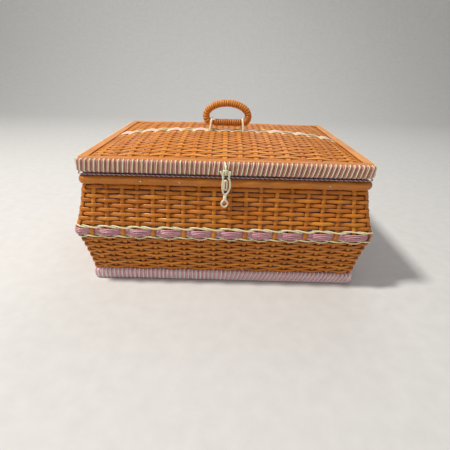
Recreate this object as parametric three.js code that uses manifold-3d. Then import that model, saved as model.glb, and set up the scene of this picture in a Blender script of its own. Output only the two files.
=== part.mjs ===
// A woven cane sewing basket: a body flared out to a lacing belt, a crowned lid on lacing hinges,
// a D handle wound with cane strip, and a lacing hasp that hangs over the front.
// Millimetres. +X is the width, -Y the front, +Z up. The origin lies under the middle of the base.
import * as THREE from "three";
import { mergeVertices } from "three/addons/utils/BufferGeometryUtils.js";
import Module from "manifold-3d";

const wasm = await Module();
wasm.setup();

// Overall sizes
const rimWidth = 340;
const rimDepth = 260;
const cornerRadius = 9;
const leastCornerRadius = 0.5;
const rimTopHeight = 139.5;
const gap = 0.3;

// Lacing and the two rolls that it is wound round
const lacingThickness = 1.8;
const rollWidth = 11.8;
const baseRollHeight = 15;
const baseRollRounding = 4;
const lidRollHeight = 14.8;
const lidRollRounding = 3.5;
const coreRounding = 1.6;

// Weave: how far a crossing that passes behind lies back, and how many rows and stakes there are
const weaveDepth = 1.6;
const upperWallRows = 9;
const lowerWallRows = 12;
const longSideStakeSpans = 17;
const shortSideStakeSpans = 13;
const lidRowsEachSide = 21;
const lidStakesEachSide = 8;
const lidStakeSpan = 18.15;

// Woven wall and its belt
const wallThickness = 4;
const wallFootInset = 2;
const wallNeckInset = 3.2;
const wallNeckDrop = 0.5;
const beltFlare = 7.5;
const beltHeight = 73.5;
const bundleHeight = 8.4;
const bundleThickness = 3.5;
const twineHeight = 2.8;
const twineThickness = 3.2;

// Rim hoops of the body and their nails
const hoopHeight = 11;
const outerHoopThickness = 5.5;
const outerHoopRounding = 2.6;
const innerHoopThickness = 3.5;
const innerHoopRounding = 1.2;
const nailPlaceShares = [-0.565, -0.306, 0.7];
const nailHeadRadius = 1.6;
const nailHeadThickness = 0.7;
const nailShankRadius = 0.6;
const nailLength = 8.6;
const nailHoleRadius = 0.9;

// Floor and satin lining
const panelLift = 7.2;
const floorPanelThickness = 5;
const floorPadThickness = 3.2;
const liningThickness = 1;
const liningLean = 7.6;
const flangeInset = 0.6;
const edgeBraidInset = 0.3;
const edgeBraidWidth = 3.8;
const edgeBraidHeight = 2;
const lidSeatClearance = 0.4;

// Lid
const bandInset = 3;
const bandWidth = 10;
const bandThickness = 1.3;
const panelThickness = 4;
const panelShoulderRun = 0.8;
const crownRise = 10.8;
const crownAcrossPower = 3.4;
const crownBackPower = 3.6;
const cardThickness = 1.5;
const lidBraidWidth = 4;
const lidBraidHeight = 1.4;
const stripeWidth = 8.5;
const stripeThickness = 2;
const stripeEndRun = 3;

// Lacing hinges
const hingeOffset = 108;
const hingeStrandRadius = 1.1;
const hingeRunning = 0.4;
const eyeDrop = 9;
const linkHalfWidth = 5.5;
const linkRise = 5;

// Handle
const handleLift = 37.2;
const handleHalfWidth = 29.6;
const handleRise = 26;
const handleCornerRun = 7.6;
const handleCornerRise = 9;
const caneRadius = 3.1;
const stripThickness = 1.6;
const archStripWidth = 1.9;
const barStripWidth = 2.6;
const archLoops = 22;
const barLoops = 11;
const handleLoopOffset = 22.3;
const handleLoopWidth = 3;
const handleLoopThickness = 1.7;
const handleLoopSpread = 2.9;
const barWindingHalf = 19;

// Hasp
const haspLift = 7;
const haspStrandRadius = 1.1;
const anchorStrandRadius = 0.9;
const anchorRun = 3;
const haspHalfWidth = 4.4;
const haspTopHalfWidth = 2.4;
const haspWallClearance = 0.9;
const haspNeckLength = 7;
const haspNeckRadius = 1.6;
const fingerRingHalfWidth = 3.9;
const fingerRingHalfHeight = 4.3;
const haspEndLength = 3.2;
const haspEndSide = 2.6;
const keeperStrandRadius = 0.9;
const keeperHalfWidth = 1.6;
const keeperLength = 13;

// Counts
const cornerSteps = 3;
const strandSides = 6;
const caneSides = 8;
const stripSides = 6;
const loopSteps = 12;
const crownSteps = 12;
const arcSteps = 6;

// Heights that follow
const hoopFoot = rimTopHeight - hoopHeight;
const wallNeckHeight = hoopFoot - wallNeckDrop;
const liningTop = rimTopHeight + gap + liningThickness;
const edgeBraidFoot = liningTop + gap;
const lidFoot = edgeBraidFoot + edgeBraidHeight + lidSeatClearance;
const floorTop = baseRollHeight + gap;
const bandFoot = lidRollHeight + gap;
const bandTop = bandFoot + bandThickness;
const beltHalf = bundleHeight / 2 + gap + twineHeight;

// Insets from the rim's outline that follow
const wallTopInset = outerHoopThickness + gap;
const innerHoopInset = wallTopInset + wallThickness + gap;
const liningInset = innerHoopInset + innerHoopThickness + gap;
const bandInnerInset = bandInset + bandWidth;
const coreInset = lacingThickness + gap;
const coreInnerInset = rollWidth - coreInset;
const panelInset = bandInnerInset + 2 * gap;
const panelShoulderInset = panelInset - panelShoulderRun;
const stripeReach = stripeWidth / 2 + gap + lacingThickness;
const beltInset = -beltFlare - gap;

// Hinge and hasp places that follow
const eyeRingRadius = 2 * hingeStrandRadius + hingeRunning;
const hingeY = rimDepth / 2 + gap + hingeStrandRadius + eyeRingRadius;
const hingeZ = (rimTopHeight + lidFoot) / 2;
const anchorRingRadius = haspStrandRadius + hingeRunning + anchorStrandRadius;
const haspY = -(rimDepth / 2 + gap + anchorStrandRadius + anchorRingRadius);

// The hasp ends where the flared wall would come within the clearance of its back.
const haspWallInset = rimDepth / 2 + haspY + haspStrandRadius + haspWallClearance;
const haspWallShare = (haspWallInset + beltFlare) / (wallNeckInset + beltFlare);
const beltTop = beltHeight + beltHalf;
const haspFoot = beltTop + (wallNeckHeight - beltTop) * haspWallShare;
const haspOvalDrop = lidFoot + haspLift - haspFoot - haspNeckLength - 2 * fingerRingHalfHeight;

// Materials
function finish(color, roughness, metalness = 0) {
  return new THREE.MeshStandardMaterial({ color, roughness, metalness });
}
const weave = finish(0xc47a30, 0.5);
const cane = finish(0xd08a48, 0.35);
const strip = finish(0xd98d45, 0.35);
const pinkLacing = finish(0xc98a96, 0.4);
const paleLacing = finish(0xe0b4b4, 0.4);
const creamLacing = finish(0xf0e8c0, 0.4);
const satin = finish(0xb49ac8, 0.45);
const braid = finish(0x9a7cb4, 0.6);
const card = finish(0xb8a888, 0.9);
const steel = finish(0x9a9690, 0.4, 1);

// Joins rings of points into one closed surface, and turns it to face out.
function loft(rings, closed) {
  const sides = rings[0].length;
  const positions = rings.flat().flatMap((p) => [p.x, p.y, p.z]);
  const index = [];
  const spans = closed ? rings.length : rings.length - 1;
  for (let i = 0; i < spans; i++) {
    const here = i * sides;
    const next = ((i + 1) % rings.length) * sides;
    for (let j = 0; j < sides; j++) {
      const k = (j + 1) % sides;
      index.push(here + j, here + k, next + k, here + j, next + k, next + j);
    }
  }
  if (!closed) {
    const last = (rings.length - 1) * sides;
    for (let j = 1; j < sides - 1; j++) {
      index.push(0, j + 1, j, last, last + j, last + j + 1);
    }
  }
  return faceOut(positions, index);
}

function faceOut(positions, index) {
  const at = (i) => new THREE.Vector3().fromArray(positions, 3 * i);
  let volume = 0;
  for (let i = 0; i < index.length; i += 3) {
    const [a, b, c] = [at(index[i]), at(index[i + 1]), at(index[i + 2])];
    volume += a.dot(b.cross(c));
  }
  if (volume < 0) {
    index.reverse();
  }
  const geometry = new THREE.BufferGeometry();
  geometry.setAttribute("position", new THREE.Float32BufferAttribute(positions, 3));
  geometry.setIndex(index);
  geometry.computeVertexNormals();
  return geometry;
}

function solidOf(geometry) {
  const bare = geometry.clone();
  bare.deleteAttribute("normal");
  bare.deleteAttribute("uv");
  const merged = mergeVertices(bare);
  return new wasm.Manifold(
    new wasm.Mesh({
      numProp: 3,
      vertProperties: new Float32Array(merged.attributes.position.array),
      triVerts: new Uint32Array(merged.index.array),
    }),
  );
}

function geometryOf(solid) {
  const mesh = solid.getMesh();
  return faceOut(Array.from(mesh.vertProperties), Array.from(mesh.triVerts));
}

function addMesh(group, name, geometry, material) {
  const mesh = new THREE.Mesh(geometry, material);
  mesh.name = name;
  group.add(mesh);
  return mesh;
}

// The rim's outline is a rounded rectangle, and an inset moves it inwards. Outwards its corners
// keep their radius, as the flared wall's do.
function outline(inset) {
  const radius = Math.min(Math.max(cornerRadius - inset, leastCornerRadius), cornerRadius);
  const points = [];
  const signs = [[1, 1], [-1, 1], [-1, -1], [1, -1]];
  signs.forEach(([sx, sy], quarter) => {
    for (let step = 0; step <= cornerSteps; step++) {
      const angle = ((quarter + step / cornerSteps) * Math.PI) / 2;
      points.push(
        new THREE.Vector2(
          sx * (rimWidth / 2 - inset - radius) + radius * Math.cos(angle),
          sy * (rimDepth / 2 - inset - radius) + radius * Math.sin(angle),
        ),
      );
    }
  });
  return points;
}

// A section of [inset, height] points carried once round the outline.
function hoop(section) {
  const outlines = section.map(([inset]) => outline(inset));
  const rings = outlines[0].map((_, i) =>
    section.map(([, z], j) => new THREE.Vector3(outlines[j][i].x, outlines[j][i].y, z)),
  );
  return loft(rings, true);
}

function plate(inset, foot, thickness) {
  const shape = new THREE.Shape(outline(inset));
  const geometry = new THREE.ExtrudeGeometry(shape, { depth: thickness, bevelEnabled: false });
  return geometry.translate(0, 0, foot);
}

// Sections of hoops
function barSection(outer, inner, foot, top, rounding) {
  return [
    [outer + rounding, foot],
    [inner - rounding, foot],
    [inner, foot + rounding],
    [inner, top - rounding],
    [inner - rounding, top],
    [outer + rounding, top],
    [outer, top - rounding],
    [outer, foot + rounding],
  ];
}

function rectangleSection(outer, inner, foot, top) {
  return [[outer, foot], [inner, foot], [inner, top], [outer, top]];
}

// A roll of lacing seen end on: a channel with rounded outer corners, open towards the middle.
function channelSection(foot, height, rounding) {
  const top = foot + height;
  const inner = rounding - lacingThickness;
  const arc = (inset, z, radius, from, to) =>
    Array.from({ length: arcSteps / 2 + 1 }, (_, i) => {
      const angle = from + ((to - from) * i) / (arcSteps / 2);
      return [inset - radius * Math.cos(angle), z + radius * Math.sin(angle)];
    });
  const [quarter, bottom] = [Math.PI / 2, -Math.PI / 2];
  return [
    [rollWidth, top],
    ...arc(rounding, top - rounding, rounding, quarter, 0),
    ...arc(rounding, foot + rounding, rounding, 0, bottom),
    [rollWidth, foot],
    [rollWidth, foot + lacingThickness],
    ...arc(rounding, foot + rounding, inner, bottom, 0),
    ...arc(rounding, top - rounding, inner, 0, quarter),
    [rollWidth, top - lacingThickness],
  ];
}

// A round or flat strand along a line drawn in the plane of two directions.
function planarStrand({ origin, across, along, points, closed, halfWidth, halfThickness }) {
  const normal = new THREE.Vector3().crossVectors(across, along).normalize();
  const line = points.map((p) =>
    origin.clone().addScaledVector(across, p.x).addScaledVector(along, p.y),
  );
  const count = line.length;
  const rings = line.map((point, i) => {
    const before = closed ? line[(i + count - 1) % count] : line[Math.max(i - 1, 0)];
    const after = closed ? line[(i + 1) % count] : line[Math.min(i + 1, count - 1)];
    const side = after.clone().sub(before).normalize().cross(normal);
    return Array.from({ length: strandSides }, (_, j) => {
      const angle = (2 * Math.PI * (j + 0.5)) / strandSides;
      return point
        .clone()
        .addScaledVector(normal, halfWidth * Math.cos(angle))
        .addScaledVector(side, halfThickness * Math.sin(angle));
    });
  });
  return loft(rings, closed);
}

// A closed line of two half circles and two straights, its top circle at the origin.
function stadium(radius, length) {
  const points = [];
  for (const [centre, from] of [[0, 0], [-length, Math.PI]]) {
    for (let i = 0; i <= arcSteps; i++) {
      const angle = from + (Math.PI * i) / arcSteps;
      points.push(new THREE.Vector2(radius * Math.cos(angle), centre + radius * Math.sin(angle)));
    }
  }
  return points;
}

const xAxis = new THREE.Vector3(1, 0, 0);
const yAxis = new THREE.Vector3(0, 1, 0);
const zAxis = new THREE.Vector3(0, 0, 1);

// Base: woven floor, core hoop and the lacing round it
function addBase(body) {
  addMesh(body, "base_panel", plate(rollWidth + gap, panelLift, floorPanelThickness), weave);
  const core = barSection(
    coreInset,
    coreInnerInset,
    coreInset,
    baseRollHeight - coreInset,
    coreRounding,
  );
  addMesh(body, "base_core", hoop(core), cane);
  const wrap = channelSection(0, baseRollHeight, baseRollRounding);
  addMesh(body, "base_wrap", hoop(wrap), paleLacing);
}

// Nails through the rim hoops, three in front and three behind
function nailSpots() {
  const z = rimTopHeight - hoopHeight / 2;
  return [-1, 1].flatMap((side) =>
    nailPlaceShares.map((share) => ({
      side,
      place: new THREE.Vector3((share * rimWidth) / 2, (side * rimDepth) / 2, z),
    })),
  );
}

function nailPin(radius, length, spot, start) {
  const pin = new THREE.CylinderGeometry(radius, radius, length, 2 * arcSteps);
  const y = spot.place.y - spot.side * (length / 2 - start);
  return pin.translate(spot.place.x, y, spot.place.z);
}

function drilled(geometry) {
  const holeLength = wallTopInset + wallThickness + 2 * nailHeadThickness;
  return nailSpots().reduce((solid, spot) => {
    const hole = nailPin(nailHoleRadius, holeLength, spot, nailHeadThickness);
    return solid.subtract(solidOf(hole));
  }, solidOf(geometry));
}

function addNails(body) {
  nailSpots().forEach((spot, i) => {
    const headStart = gap + nailHeadThickness;
    const head = nailPin(nailHeadRadius, nailHeadThickness, spot, headStart);
    const shank = nailPin(nailShankRadius, nailLength, spot, headStart);
    const nail = solidOf(head).add(solidOf(shank));
    addMesh(body, `rim_nail_${i + 1}`, geometryOf(nail), steel);
  });
}

// The outline with a place at every stake: each corner stands for three stakes.
function stakedOutline(inset) {
  const corners = outline(inset);
  const perCorner = cornerSteps + 1;
  const places = [];
  let stake = 0;
  for (let quarter = 0; quarter < 4; quarter++) {
    const arc = corners.slice(quarter * perCorner, (quarter + 1) * perCorner);
    const steps = [0, ...Array(cornerSteps - 1).fill(1), 2];
    arc.forEach((point, i) => places.push({ point, stake: stake + steps[i] }));
    stake += 2;
    const spans = quarter % 2 === 0 ? longSideStakeSpans : shortSideStakeSpans;
    const next = corners[((quarter + 1) * perCorner) % corners.length];
    for (let i = 1; i < spans; i++) {
      const point = arc[cornerSteps].clone().lerp(next, i / spans);
      places.push({ point, stake: stake + i });
    }
    stake += spans;
  }
  return places;
}

// Rows of weavers between two corners of the wall's section, numbered away from the belt.
function wovenRows([beltSide, z0], [far, z1], count) {
  return Array.from({ length: count }, (_, row) => {
    const share = (row + 0.5) / count;
    return { inset: beltSide + (far - beltSide) * share, z: z0 + (z1 - z0) * share, row };
  });
}

// Wall, belt and rim hoops
function addWall(body) {
  const plain = ([inset, z]) => ({ inset, z, row: null });
  const foot = [wallFootInset, floorTop];
  const beltFoot = [-beltFlare, beltHeight - beltHalf];
  const beltHead = [-beltFlare, beltTop];
  const neck = [wallNeckInset, wallNeckHeight];
  const rim = [[wallTopInset, hoopFoot], [wallTopInset, rimTopHeight - gap]];
  const levels = [
    plain(foot),
    ...wovenRows(beltFoot, foot, lowerWallRows).reverse(),
    plain(beltFoot),
    plain(beltHead),
    ...wovenRows(beltHead, neck, upperWallRows),
    ...[neck, ...rim].map(plain),
  ];
  const outside = levels.map(({ inset, z, row }) => {
    const front = stakedOutline(inset);
    const back = stakedOutline(inset + weaveDepth);
    return front.map(({ point, stake }, i) => {
      const behind = row !== null && (stake + row) % 2 === 1;
      const place = behind ? back[i].point : point;
      return new THREE.Vector3(place.x, place.y, z);
    });
  });
  const profile = [foot, beltFoot, beltHead, neck, ...rim];
  const inside = profile.map(([inset, z], i) => {
    const past = i === 0 ? -1 : Number(i === profile.length - 1);
    return outline(inset + wallThickness).map((p) => new THREE.Vector3(p.x, p.y, z + past));
  });
  const wall = solidOf(loft(outside, false)).subtract(solidOf(loft(inside, false)));
  addMesh(body, "body_wall", geometryOf(drilled(geometryOf(wall))), weave);
}

function beltSection(foot, height, thickness) {
  const rounding = Math.min(height, thickness) / 4;
  return barSection(beltInset - thickness, beltInset, foot, foot + height, rounding);
}

function addBelt(body) {
  const bundleFoot = beltHeight - bundleHeight / 2;
  const topFoot = bundleFoot + bundleHeight + gap;
  const bottomFoot = bundleFoot - gap - twineHeight;
  const bundle = beltSection(bundleFoot, bundleHeight, bundleThickness);
  const top = beltSection(topFoot, twineHeight, twineThickness);
  const bottom = beltSection(bottomFoot, twineHeight, twineThickness);
  addMesh(body, "belt_bundle", hoop(bundle), pinkLacing);
  addMesh(body, "belt_twine_top", hoop(top), creamLacing);
  addMesh(body, "belt_twine_bottom", hoop(bottom), creamLacing);
}

function addRimHoops(body) {
  const outer = [
    [outerHoopThickness, hoopFoot],
    [outerHoopRounding, hoopFoot],
    [0, hoopFoot + outerHoopRounding],
    [0, rimTopHeight - outerHoopRounding],
    [outerHoopRounding, rimTopHeight],
    [outerHoopThickness, rimTopHeight],
  ];
  const far = innerHoopInset + innerHoopThickness;
  const inner = [
    [innerHoopInset, hoopFoot],
    [far - innerHoopRounding, hoopFoot],
    [far, hoopFoot + innerHoopRounding],
    [far, rimTopHeight - innerHoopRounding],
    [far - innerHoopRounding, rimTopHeight],
    [innerHoopInset, rimTopHeight],
  ];
  addMesh(body, "body_rim_outer", geometryOf(drilled(hoop(outer))), cane);
  addMesh(body, "body_rim_inner", hoop(inner), cane);
}

// Satin lining with its floor, turned over the rim and edged with braid
function addLining(body) {
  const footInset = liningInset - liningLean;
  const lining = [
    [footInset, floorTop],
    [footInset + liningThickness, floorTop],
    [liningInset + liningThickness, hoopFoot],
    [liningInset + liningThickness, liningTop],
    [flangeInset, liningTop],
    [flangeInset, liningTop - liningThickness],
    [liningInset, liningTop - liningThickness],
    [liningInset, hoopFoot],
  ];
  addMesh(body, "body_lining", hoop(lining), satin);
  const edgeFar = edgeBraidInset + edgeBraidWidth;
  const edgeTop = edgeBraidFoot + edgeBraidHeight;
  const edge = rectangleSection(edgeBraidInset, edgeFar, edgeBraidFoot, edgeTop);
  addMesh(body, "lining_braid", hoop(edge), braid);

  const cardFoot = panelLift + floorPanelThickness + gap;
  const floorCard = plate(rollWidth + gap, cardFoot, floorTop - gap - cardFoot);
  addMesh(body, "floor_card", floorCard, card);
  const padInset = footInset + liningThickness + 2 * gap;
  addMesh(body, "floor_pad", plate(padInset, floorTop, floorPadThickness), satin);
}

// Hinges: an eye on the body's rim holds a link on the lid's rim
function addHingeEye(body, name, x) {
  const eye = planarStrand({
    origin: new THREE.Vector3(x, hingeY, hingeZ),
    across: yAxis,
    along: zAxis,
    points: stadium(eyeRingRadius, eyeDrop),
    closed: true,
    halfWidth: hingeStrandRadius,
    halfThickness: hingeStrandRadius,
  });
  addMesh(body, name, eye, creamLacing);
}

function addHingeLink(lid, name, x) {
  const lean = new THREE.Vector3(0, rimDepth / 2 + gap + hingeStrandRadius - hingeY, linkRise);
  const legLength = lean.length();
  const corner = 2 * hingeStrandRadius;
  const points = [new THREE.Vector2(-linkHalfWidth, legLength)];
  for (const [side, from] of [[-1, Math.PI], [1, 1.5 * Math.PI]]) {
    for (let i = 0; i <= arcSteps / 2; i++) {
      const angle = from + (Math.PI * i) / arcSteps;
      const x0 = side * (linkHalfWidth - corner);
      points.push(
        new THREE.Vector2(x0 + corner * Math.cos(angle), corner + corner * Math.sin(angle)),
      );
    }
  }
  points.push(new THREE.Vector2(linkHalfWidth, legLength));
  const link = planarStrand({
    origin: new THREE.Vector3(x, hingeY, hingeZ - lidFoot),
    across: xAxis,
    along: lean.normalize(),
    points,
    closed: false,
    halfWidth: hingeStrandRadius,
    halfThickness: hingeStrandRadius,
  });
  addMesh(lid, name, link, creamLacing);
}

// Hasp keeper: a flat loop of lacing on the front of the body's rim
function addKeeper(body) {
  const y = -(rimDepth / 2 + gap + keeperStrandRadius);
  const top = rimTopHeight - keeperStrandRadius - keeperHalfWidth;
  const keeper = planarStrand({
    origin: new THREE.Vector3(0, y, top),
    across: xAxis,
    along: zAxis,
    points: stadium(keeperHalfWidth, keeperLength - 2 * (keeperStrandRadius + keeperHalfWidth)),
    closed: true,
    halfWidth: keeperStrandRadius,
    halfThickness: keeperStrandRadius,
  });
  addMesh(body, "hasp_keeper", keeper, creamLacing);
}

// Lid rim: core, lacing and four flat bands with mitred corners
function addLidRim(lid) {
  const core = barSection(
    coreInset,
    coreInnerInset,
    coreInset,
    lidRollHeight - coreInset,
    coreRounding,
  );
  addMesh(lid, "lid_core", hoop(core), cane);
  addMesh(lid, "lid_wrap", hoop(channelSection(0, lidRollHeight, lidRollRounding)), pinkLacing);
}

// A band's outer edge turns half of each corner, and its ends are mitred.
function bandGeometry(halfLength, halfSpan) {
  const radius = cornerRadius - bandInset;
  const mitre = gap / Math.SQRT2;
  const right = [];
  for (let i = 0; i <= arcSteps; i++) {
    const angle = ((i / arcSteps - 2) * Math.PI) / 4;
    const x = halfLength - cornerRadius + radius * Math.cos(angle) - mitre;
    const y = cornerRadius - halfSpan + radius * Math.sin(angle);
    right.push(new THREE.Vector2(x, y));
  }
  const inner = new THREE.Vector2(halfLength - bandInnerInset - mitre, bandInnerInset - halfSpan);
  right.push(inner);
  const left = right.map((p) => new THREE.Vector2(-p.x, p.y)).reverse();
  const shape = new THREE.Shape([...left, ...right]);
  const geometry = new THREE.ExtrudeGeometry(shape, { depth: bandThickness, bevelEnabled: false });
  return geometry.translate(0, 0, bandFoot);
}

function addBands(lid) {
  const sides = [
    ["lid_band_front", rimWidth / 2, rimDepth / 2, 0],
    ["lid_band_right", rimDepth / 2, rimWidth / 2, Math.PI / 2],
    ["lid_band_back", rimWidth / 2, rimDepth / 2, Math.PI],
    ["lid_band_left", rimDepth / 2, rimWidth / 2, -Math.PI / 2],
  ];
  for (const [name, halfLength, halfSpan, turn] of sides) {
    addMesh(lid, name, bandGeometry(halfLength, halfSpan), cane).rotation.z = turn;
  }
}

// Lid panel: crowned, with a shoulder that drops to a flange inside the lid's roll
const panelHalfWidth = rimWidth / 2 - panelInset;
const panelHalfDepth = rimDepth / 2 - panelInset;

function crownHeight(x, y) {
  const across = 1 - Math.min(Math.abs(x) / panelHalfWidth, 1) ** crownAcrossPower;
  const back = 1 - Math.min(Math.abs(y) / panelHalfDepth, 1) ** crownBackPower;
  return bandTop + crownRise * across * back;
}

function crownLines() {
  return Array.from({ length: crownSteps + 1 }, (_, i) =>
    Math.sin((((2 * i) / crownSteps - 1) * Math.PI) / 2),
  );
}

// Lines across the panel, with the flange's two lines at each end.
function panelLines(half, lines, overhang) {
  const coreCorner = Math.max(cornerRadius - coreInnerInset, leastCornerRadius);
  const edge = half - coreInnerInset - gap - coreCorner * (1 - Math.SQRT1_2) + overhang;
  const shoulder = half - panelShoulderInset;
  const flange = (at) => ({ at, flange: true });
  return [flange(-edge), flange(-shoulder), ...lines, flange(shoulder), flange(edge)];
}

// A closed block with a flat foot under a grid of heights.
function blockUnder(columns, rows, heightAt, foot) {
  const positions = [];
  for (const under of [false, true]) {
    for (const row of rows) {
      for (const column of columns) {
        positions.push(column.at, row.at, under ? foot : heightAt(column, row));
      }
    }
  }
  const [wide, deep] = [columns.length, rows.length];
  const below = wide * deep;
  const index = [];
  const quad = (a, b, c, d) => index.push(a, b, c, a, c, d);
  for (let j = 0; j < deep - 1; j++) {
    for (let i = 0; i < wide - 1; i++) {
      const a = j * wide + i;
      quad(a, a + 1, a + wide + 1, a + wide);
      quad(below + a, below + a + wide, below + a + wide + 1, below + a + 1);
    }
  }
  for (let i = 0; i < wide - 1; i++) {
    const back = (deep - 1) * wide + i;
    quad(i, below + i, below + i + 1, i + 1);
    quad(back, back + 1, below + back + 1, below + back);
  }
  for (let j = 0; j < deep - 1; j++) {
    const left = j * wide;
    const right = left + wide - 1;
    quad(left, left + wide, below + left + wide, below + left);
    quad(right, below + right, below + right + wide, right + wide);
  }
  return solidOf(faceOut(positions, index));
}

// Woven panel: a crown with the weave's relief on top, hollowed from below
function panelGeometry() {
  const flangeTop = lidRollHeight - lacingThickness - gap;
  const topAt = (column, row) => {
    if (row.flange || column.flange) {
      return flangeTop;
    }
    const woven = row.row !== undefined && column.stake !== undefined;
    const behind = woven && (row.row + column.stake) % 2 !== 0;
    return crownHeight(column.at, row.at) - (behind ? weaveDepth : 0);
  };

  const stakes = Array.from({ length: 2 * lidStakesEachSide + 1 }, (_, i) => {
    const number = i - lidStakesEachSide;
    return { at: number * lidStakeSpan, stake: number };
  });
  const columns = [{ at: -panelHalfWidth }, ...stakes, { at: panelHalfWidth }];

  // The row beside the stripe passes over the odd stakes.
  const rowSpan = (panelHalfDepth - stripeReach) / lidRowsEachSide;
  const rear = Array.from({ length: lidRowsEachSide }, (_, i) => ({
    at: stripeReach + rowSpan * (i + 0.5),
    row: i + 1,
  }));
  const front = rear.map(({ at, row }) => ({ at: -at, row })).reverse();
  const rows = [{ at: -panelHalfDepth }, ...front, { at: 0 }, ...rear, { at: panelHalfDepth }];
  const top = blockUnder(
    panelLines(rimWidth / 2, columns, 0),
    panelLines(rimDepth / 2, rows, 0),
    topAt,
    0,
  );

  const plainLines = (half) => crownLines().map((share) => ({ at: half * share }));
  const hollow = blockUnder(
    panelLines(rimWidth / 2, plainLines(panelHalfWidth), panelThickness),
    panelLines(rimDepth / 2, plainLines(panelHalfDepth), panelThickness),
    (column, row) => topAt(column, row) - panelThickness,
    -panelThickness,
  );
  return geometryOf(top.subtract(hollow));
}

// A flat strip that lies on the crown from the left band to the right one.
function crownStrip(y, width) {
  const end = panelHalfWidth - stripeEndRun;
  const rings = crownLines().map((share) => {
    const x = end * share;
    const foot = crownHeight(x, y) + gap;
    return [
      new THREE.Vector3(x, y - width / 2, foot),
      new THREE.Vector3(x, y + width / 2, foot),
      new THREE.Vector3(x, y + width / 2, foot + stripeThickness),
      new THREE.Vector3(x, y - width / 2, foot + stripeThickness),
    ];
  });
  return loft(rings, false);
}

function addPanel(lid) {
  addMesh(lid, "lid_panel", panelGeometry(), weave);
  addMesh(lid, "lid_stripe", crownStrip(0, stripeWidth), pinkLacing);
  const twineY = stripeWidth / 2 + gap + lacingThickness / 2;
  addMesh(lid, "lid_twine_front", crownStrip(-twineY, lacingThickness), creamLacing);
  addMesh(lid, "lid_twine_rear", crownStrip(twineY, lacingThickness), creamLacing);
}

// Underside of the lid: card in the roll's channel, satin drawn over it, and a braid
function addLidLining(lid) {
  const cardFoot = lacingThickness + gap;
  addMesh(lid, "lid_card", plate(coreInnerInset + gap, cardFoot, cardThickness), card);
  const liningPlate = plate(rollWidth + gap, gap, lacingThickness - gap);
  addMesh(lid, "lid_lining", liningPlate, satin);
  const near = rollWidth + 2 * gap;
  const lidBraid = rectangleSection(near, near + lidBraidWidth, -lidBraidHeight, 0);
  addMesh(lid, "lid_braid", hoop(lidBraid), braid);
}

// Handle: a cane D whose bar lies on the group's X axis
function handlePath() {
  const point = (x, z) => new THREE.Vector3(x, 0, z);
  const roundShare = 0.5523;
  const [w, h, run, rise] = [handleHalfWidth, handleRise, handleCornerRun, handleCornerRise];
  const path = new THREE.CurvePath();
  const corner = (s) => [
    point(s * (w - run), 0),
    point(s * (w - run + run * roundShare), 0),
    point(s * w, rise * (1 - roundShare)),
    point(s * w, rise),
  ];
  const arch = (s) => [
    point(s * w, rise),
    point(s * w, rise + (h - rise) * roundShare),
    point(s * w * roundShare, h),
    point(0, h),
  ];
  path.add(new THREE.LineCurve3(point(0, 0), point(w - run, 0)));
  path.add(new THREE.CubicBezierCurve3(...corner(1)));
  path.add(new THREE.CubicBezierCurve3(...arch(1)));
  path.add(new THREE.CubicBezierCurve3(...arch(-1).reverse()));
  path.add(new THREE.CubicBezierCurve3(...corner(-1).reverse()));
  path.add(new THREE.LineCurve3(point(run - w, 0), point(0, 0)));
  return path;
}

function pathFrame(path, length, s) {
  const share = (((s / length) % 1) + 1) % 1;
  const point = path.getPoint(share);
  const tangent = path.getTangent(share);
  return { point, tangent, inward: tangent.clone().cross(yAxis) };
}

// Bend of the path per millimetre at a distance along it, positive round the D's middle.
function bendAt(path, length, s) {
  const step = handleRise / 50;
  const before = pathFrame(path, length, s - step).tangent;
  const after = pathFrame(path, length, s + step).tangent;
  return before.angleTo(after) / (2 * step);
}

// Distances along the winding that lie evenly spaced on the inside of the bend.
function evenInside(path, length, from, to, count, reach) {
  const fine = 40 * arcSteps;
  const sums = [0];
  for (let i = 0; i < fine; i++) {
    const s = from + ((to - from) * (i + 0.5)) / fine;
    sums.push(sums[i] + 1 - bendAt(path, length, s) * reach);
  }
  return Array.from({ length: count + 1 }, (_, i) => {
    const target = (sums[fine] * i) / count;
    const after = Math.max(1, sums.findIndex((sum) => sum >= target));
    const share = (target - sums[after - 1]) / (sums[after] - sums[after - 1]);
    return from + ((to - from) * (after - 1 + share)) / fine;
  });
}

// One flat strip wound round the cane in one unbroken tube, straight at both ends.
function winding(path, length, from, to, loops, width) {
  const radius = caneRadius + gap + stripThickness / 2;
  const reach = radius + stripThickness / 2;
  const places = evenInside(path, length, from, to, loops * loopSteps, reach);
  const ringAt = (s, turn, run) => {
    const { point, tangent, inward } = pathFrame(path, length, s);
    const [sin, cos] = [Math.sin(turn), Math.cos(turn)];
    const out = inward.clone().multiplyScalar(cos).addScaledVector(yAxis, sin);
    const round = inward.clone().multiplyScalar(-sin).addScaledVector(yAxis, cos);
    const centre = point.clone().addScaledVector(out, radius).addScaledVector(round, run);
    return Array.from({ length: stripSides }, (_, j) => {
      const angle = (2 * Math.PI * j) / stripSides;
      return centre
        .clone()
        .addScaledVector(tangent, (width / 2) * Math.cos(angle))
        .addScaledVector(out, (stripThickness / 2) * Math.sin(angle));
    });
  };
  const rings = places.map((s, i) => ringAt(s, (2 * Math.PI * i) / loopSteps, 0));
  rings.unshift(ringAt(from, 0, -width));
  rings.push(ringAt(to, 2 * Math.PI * loops, width));
  return rings;
}

function leastGap(rings) {
  let least = Infinity;
  for (let i = 0; i < rings.length; i++) {
    for (let j = i + Math.ceil(loopSteps / 2); j < rings.length; j++) {
      for (const a of rings[i]) {
        for (const b of rings[j]) {
          least = Math.min(least, a.distanceTo(b));
        }
      }
    }
  }
  return least;
}

function addWinding(group, name, rings) {
  console.log(`${name} least gap to itself ${leastGap(rings).toFixed(2)} mm`);
  addMesh(group, name, loft(rings, false), strip);
}

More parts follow.
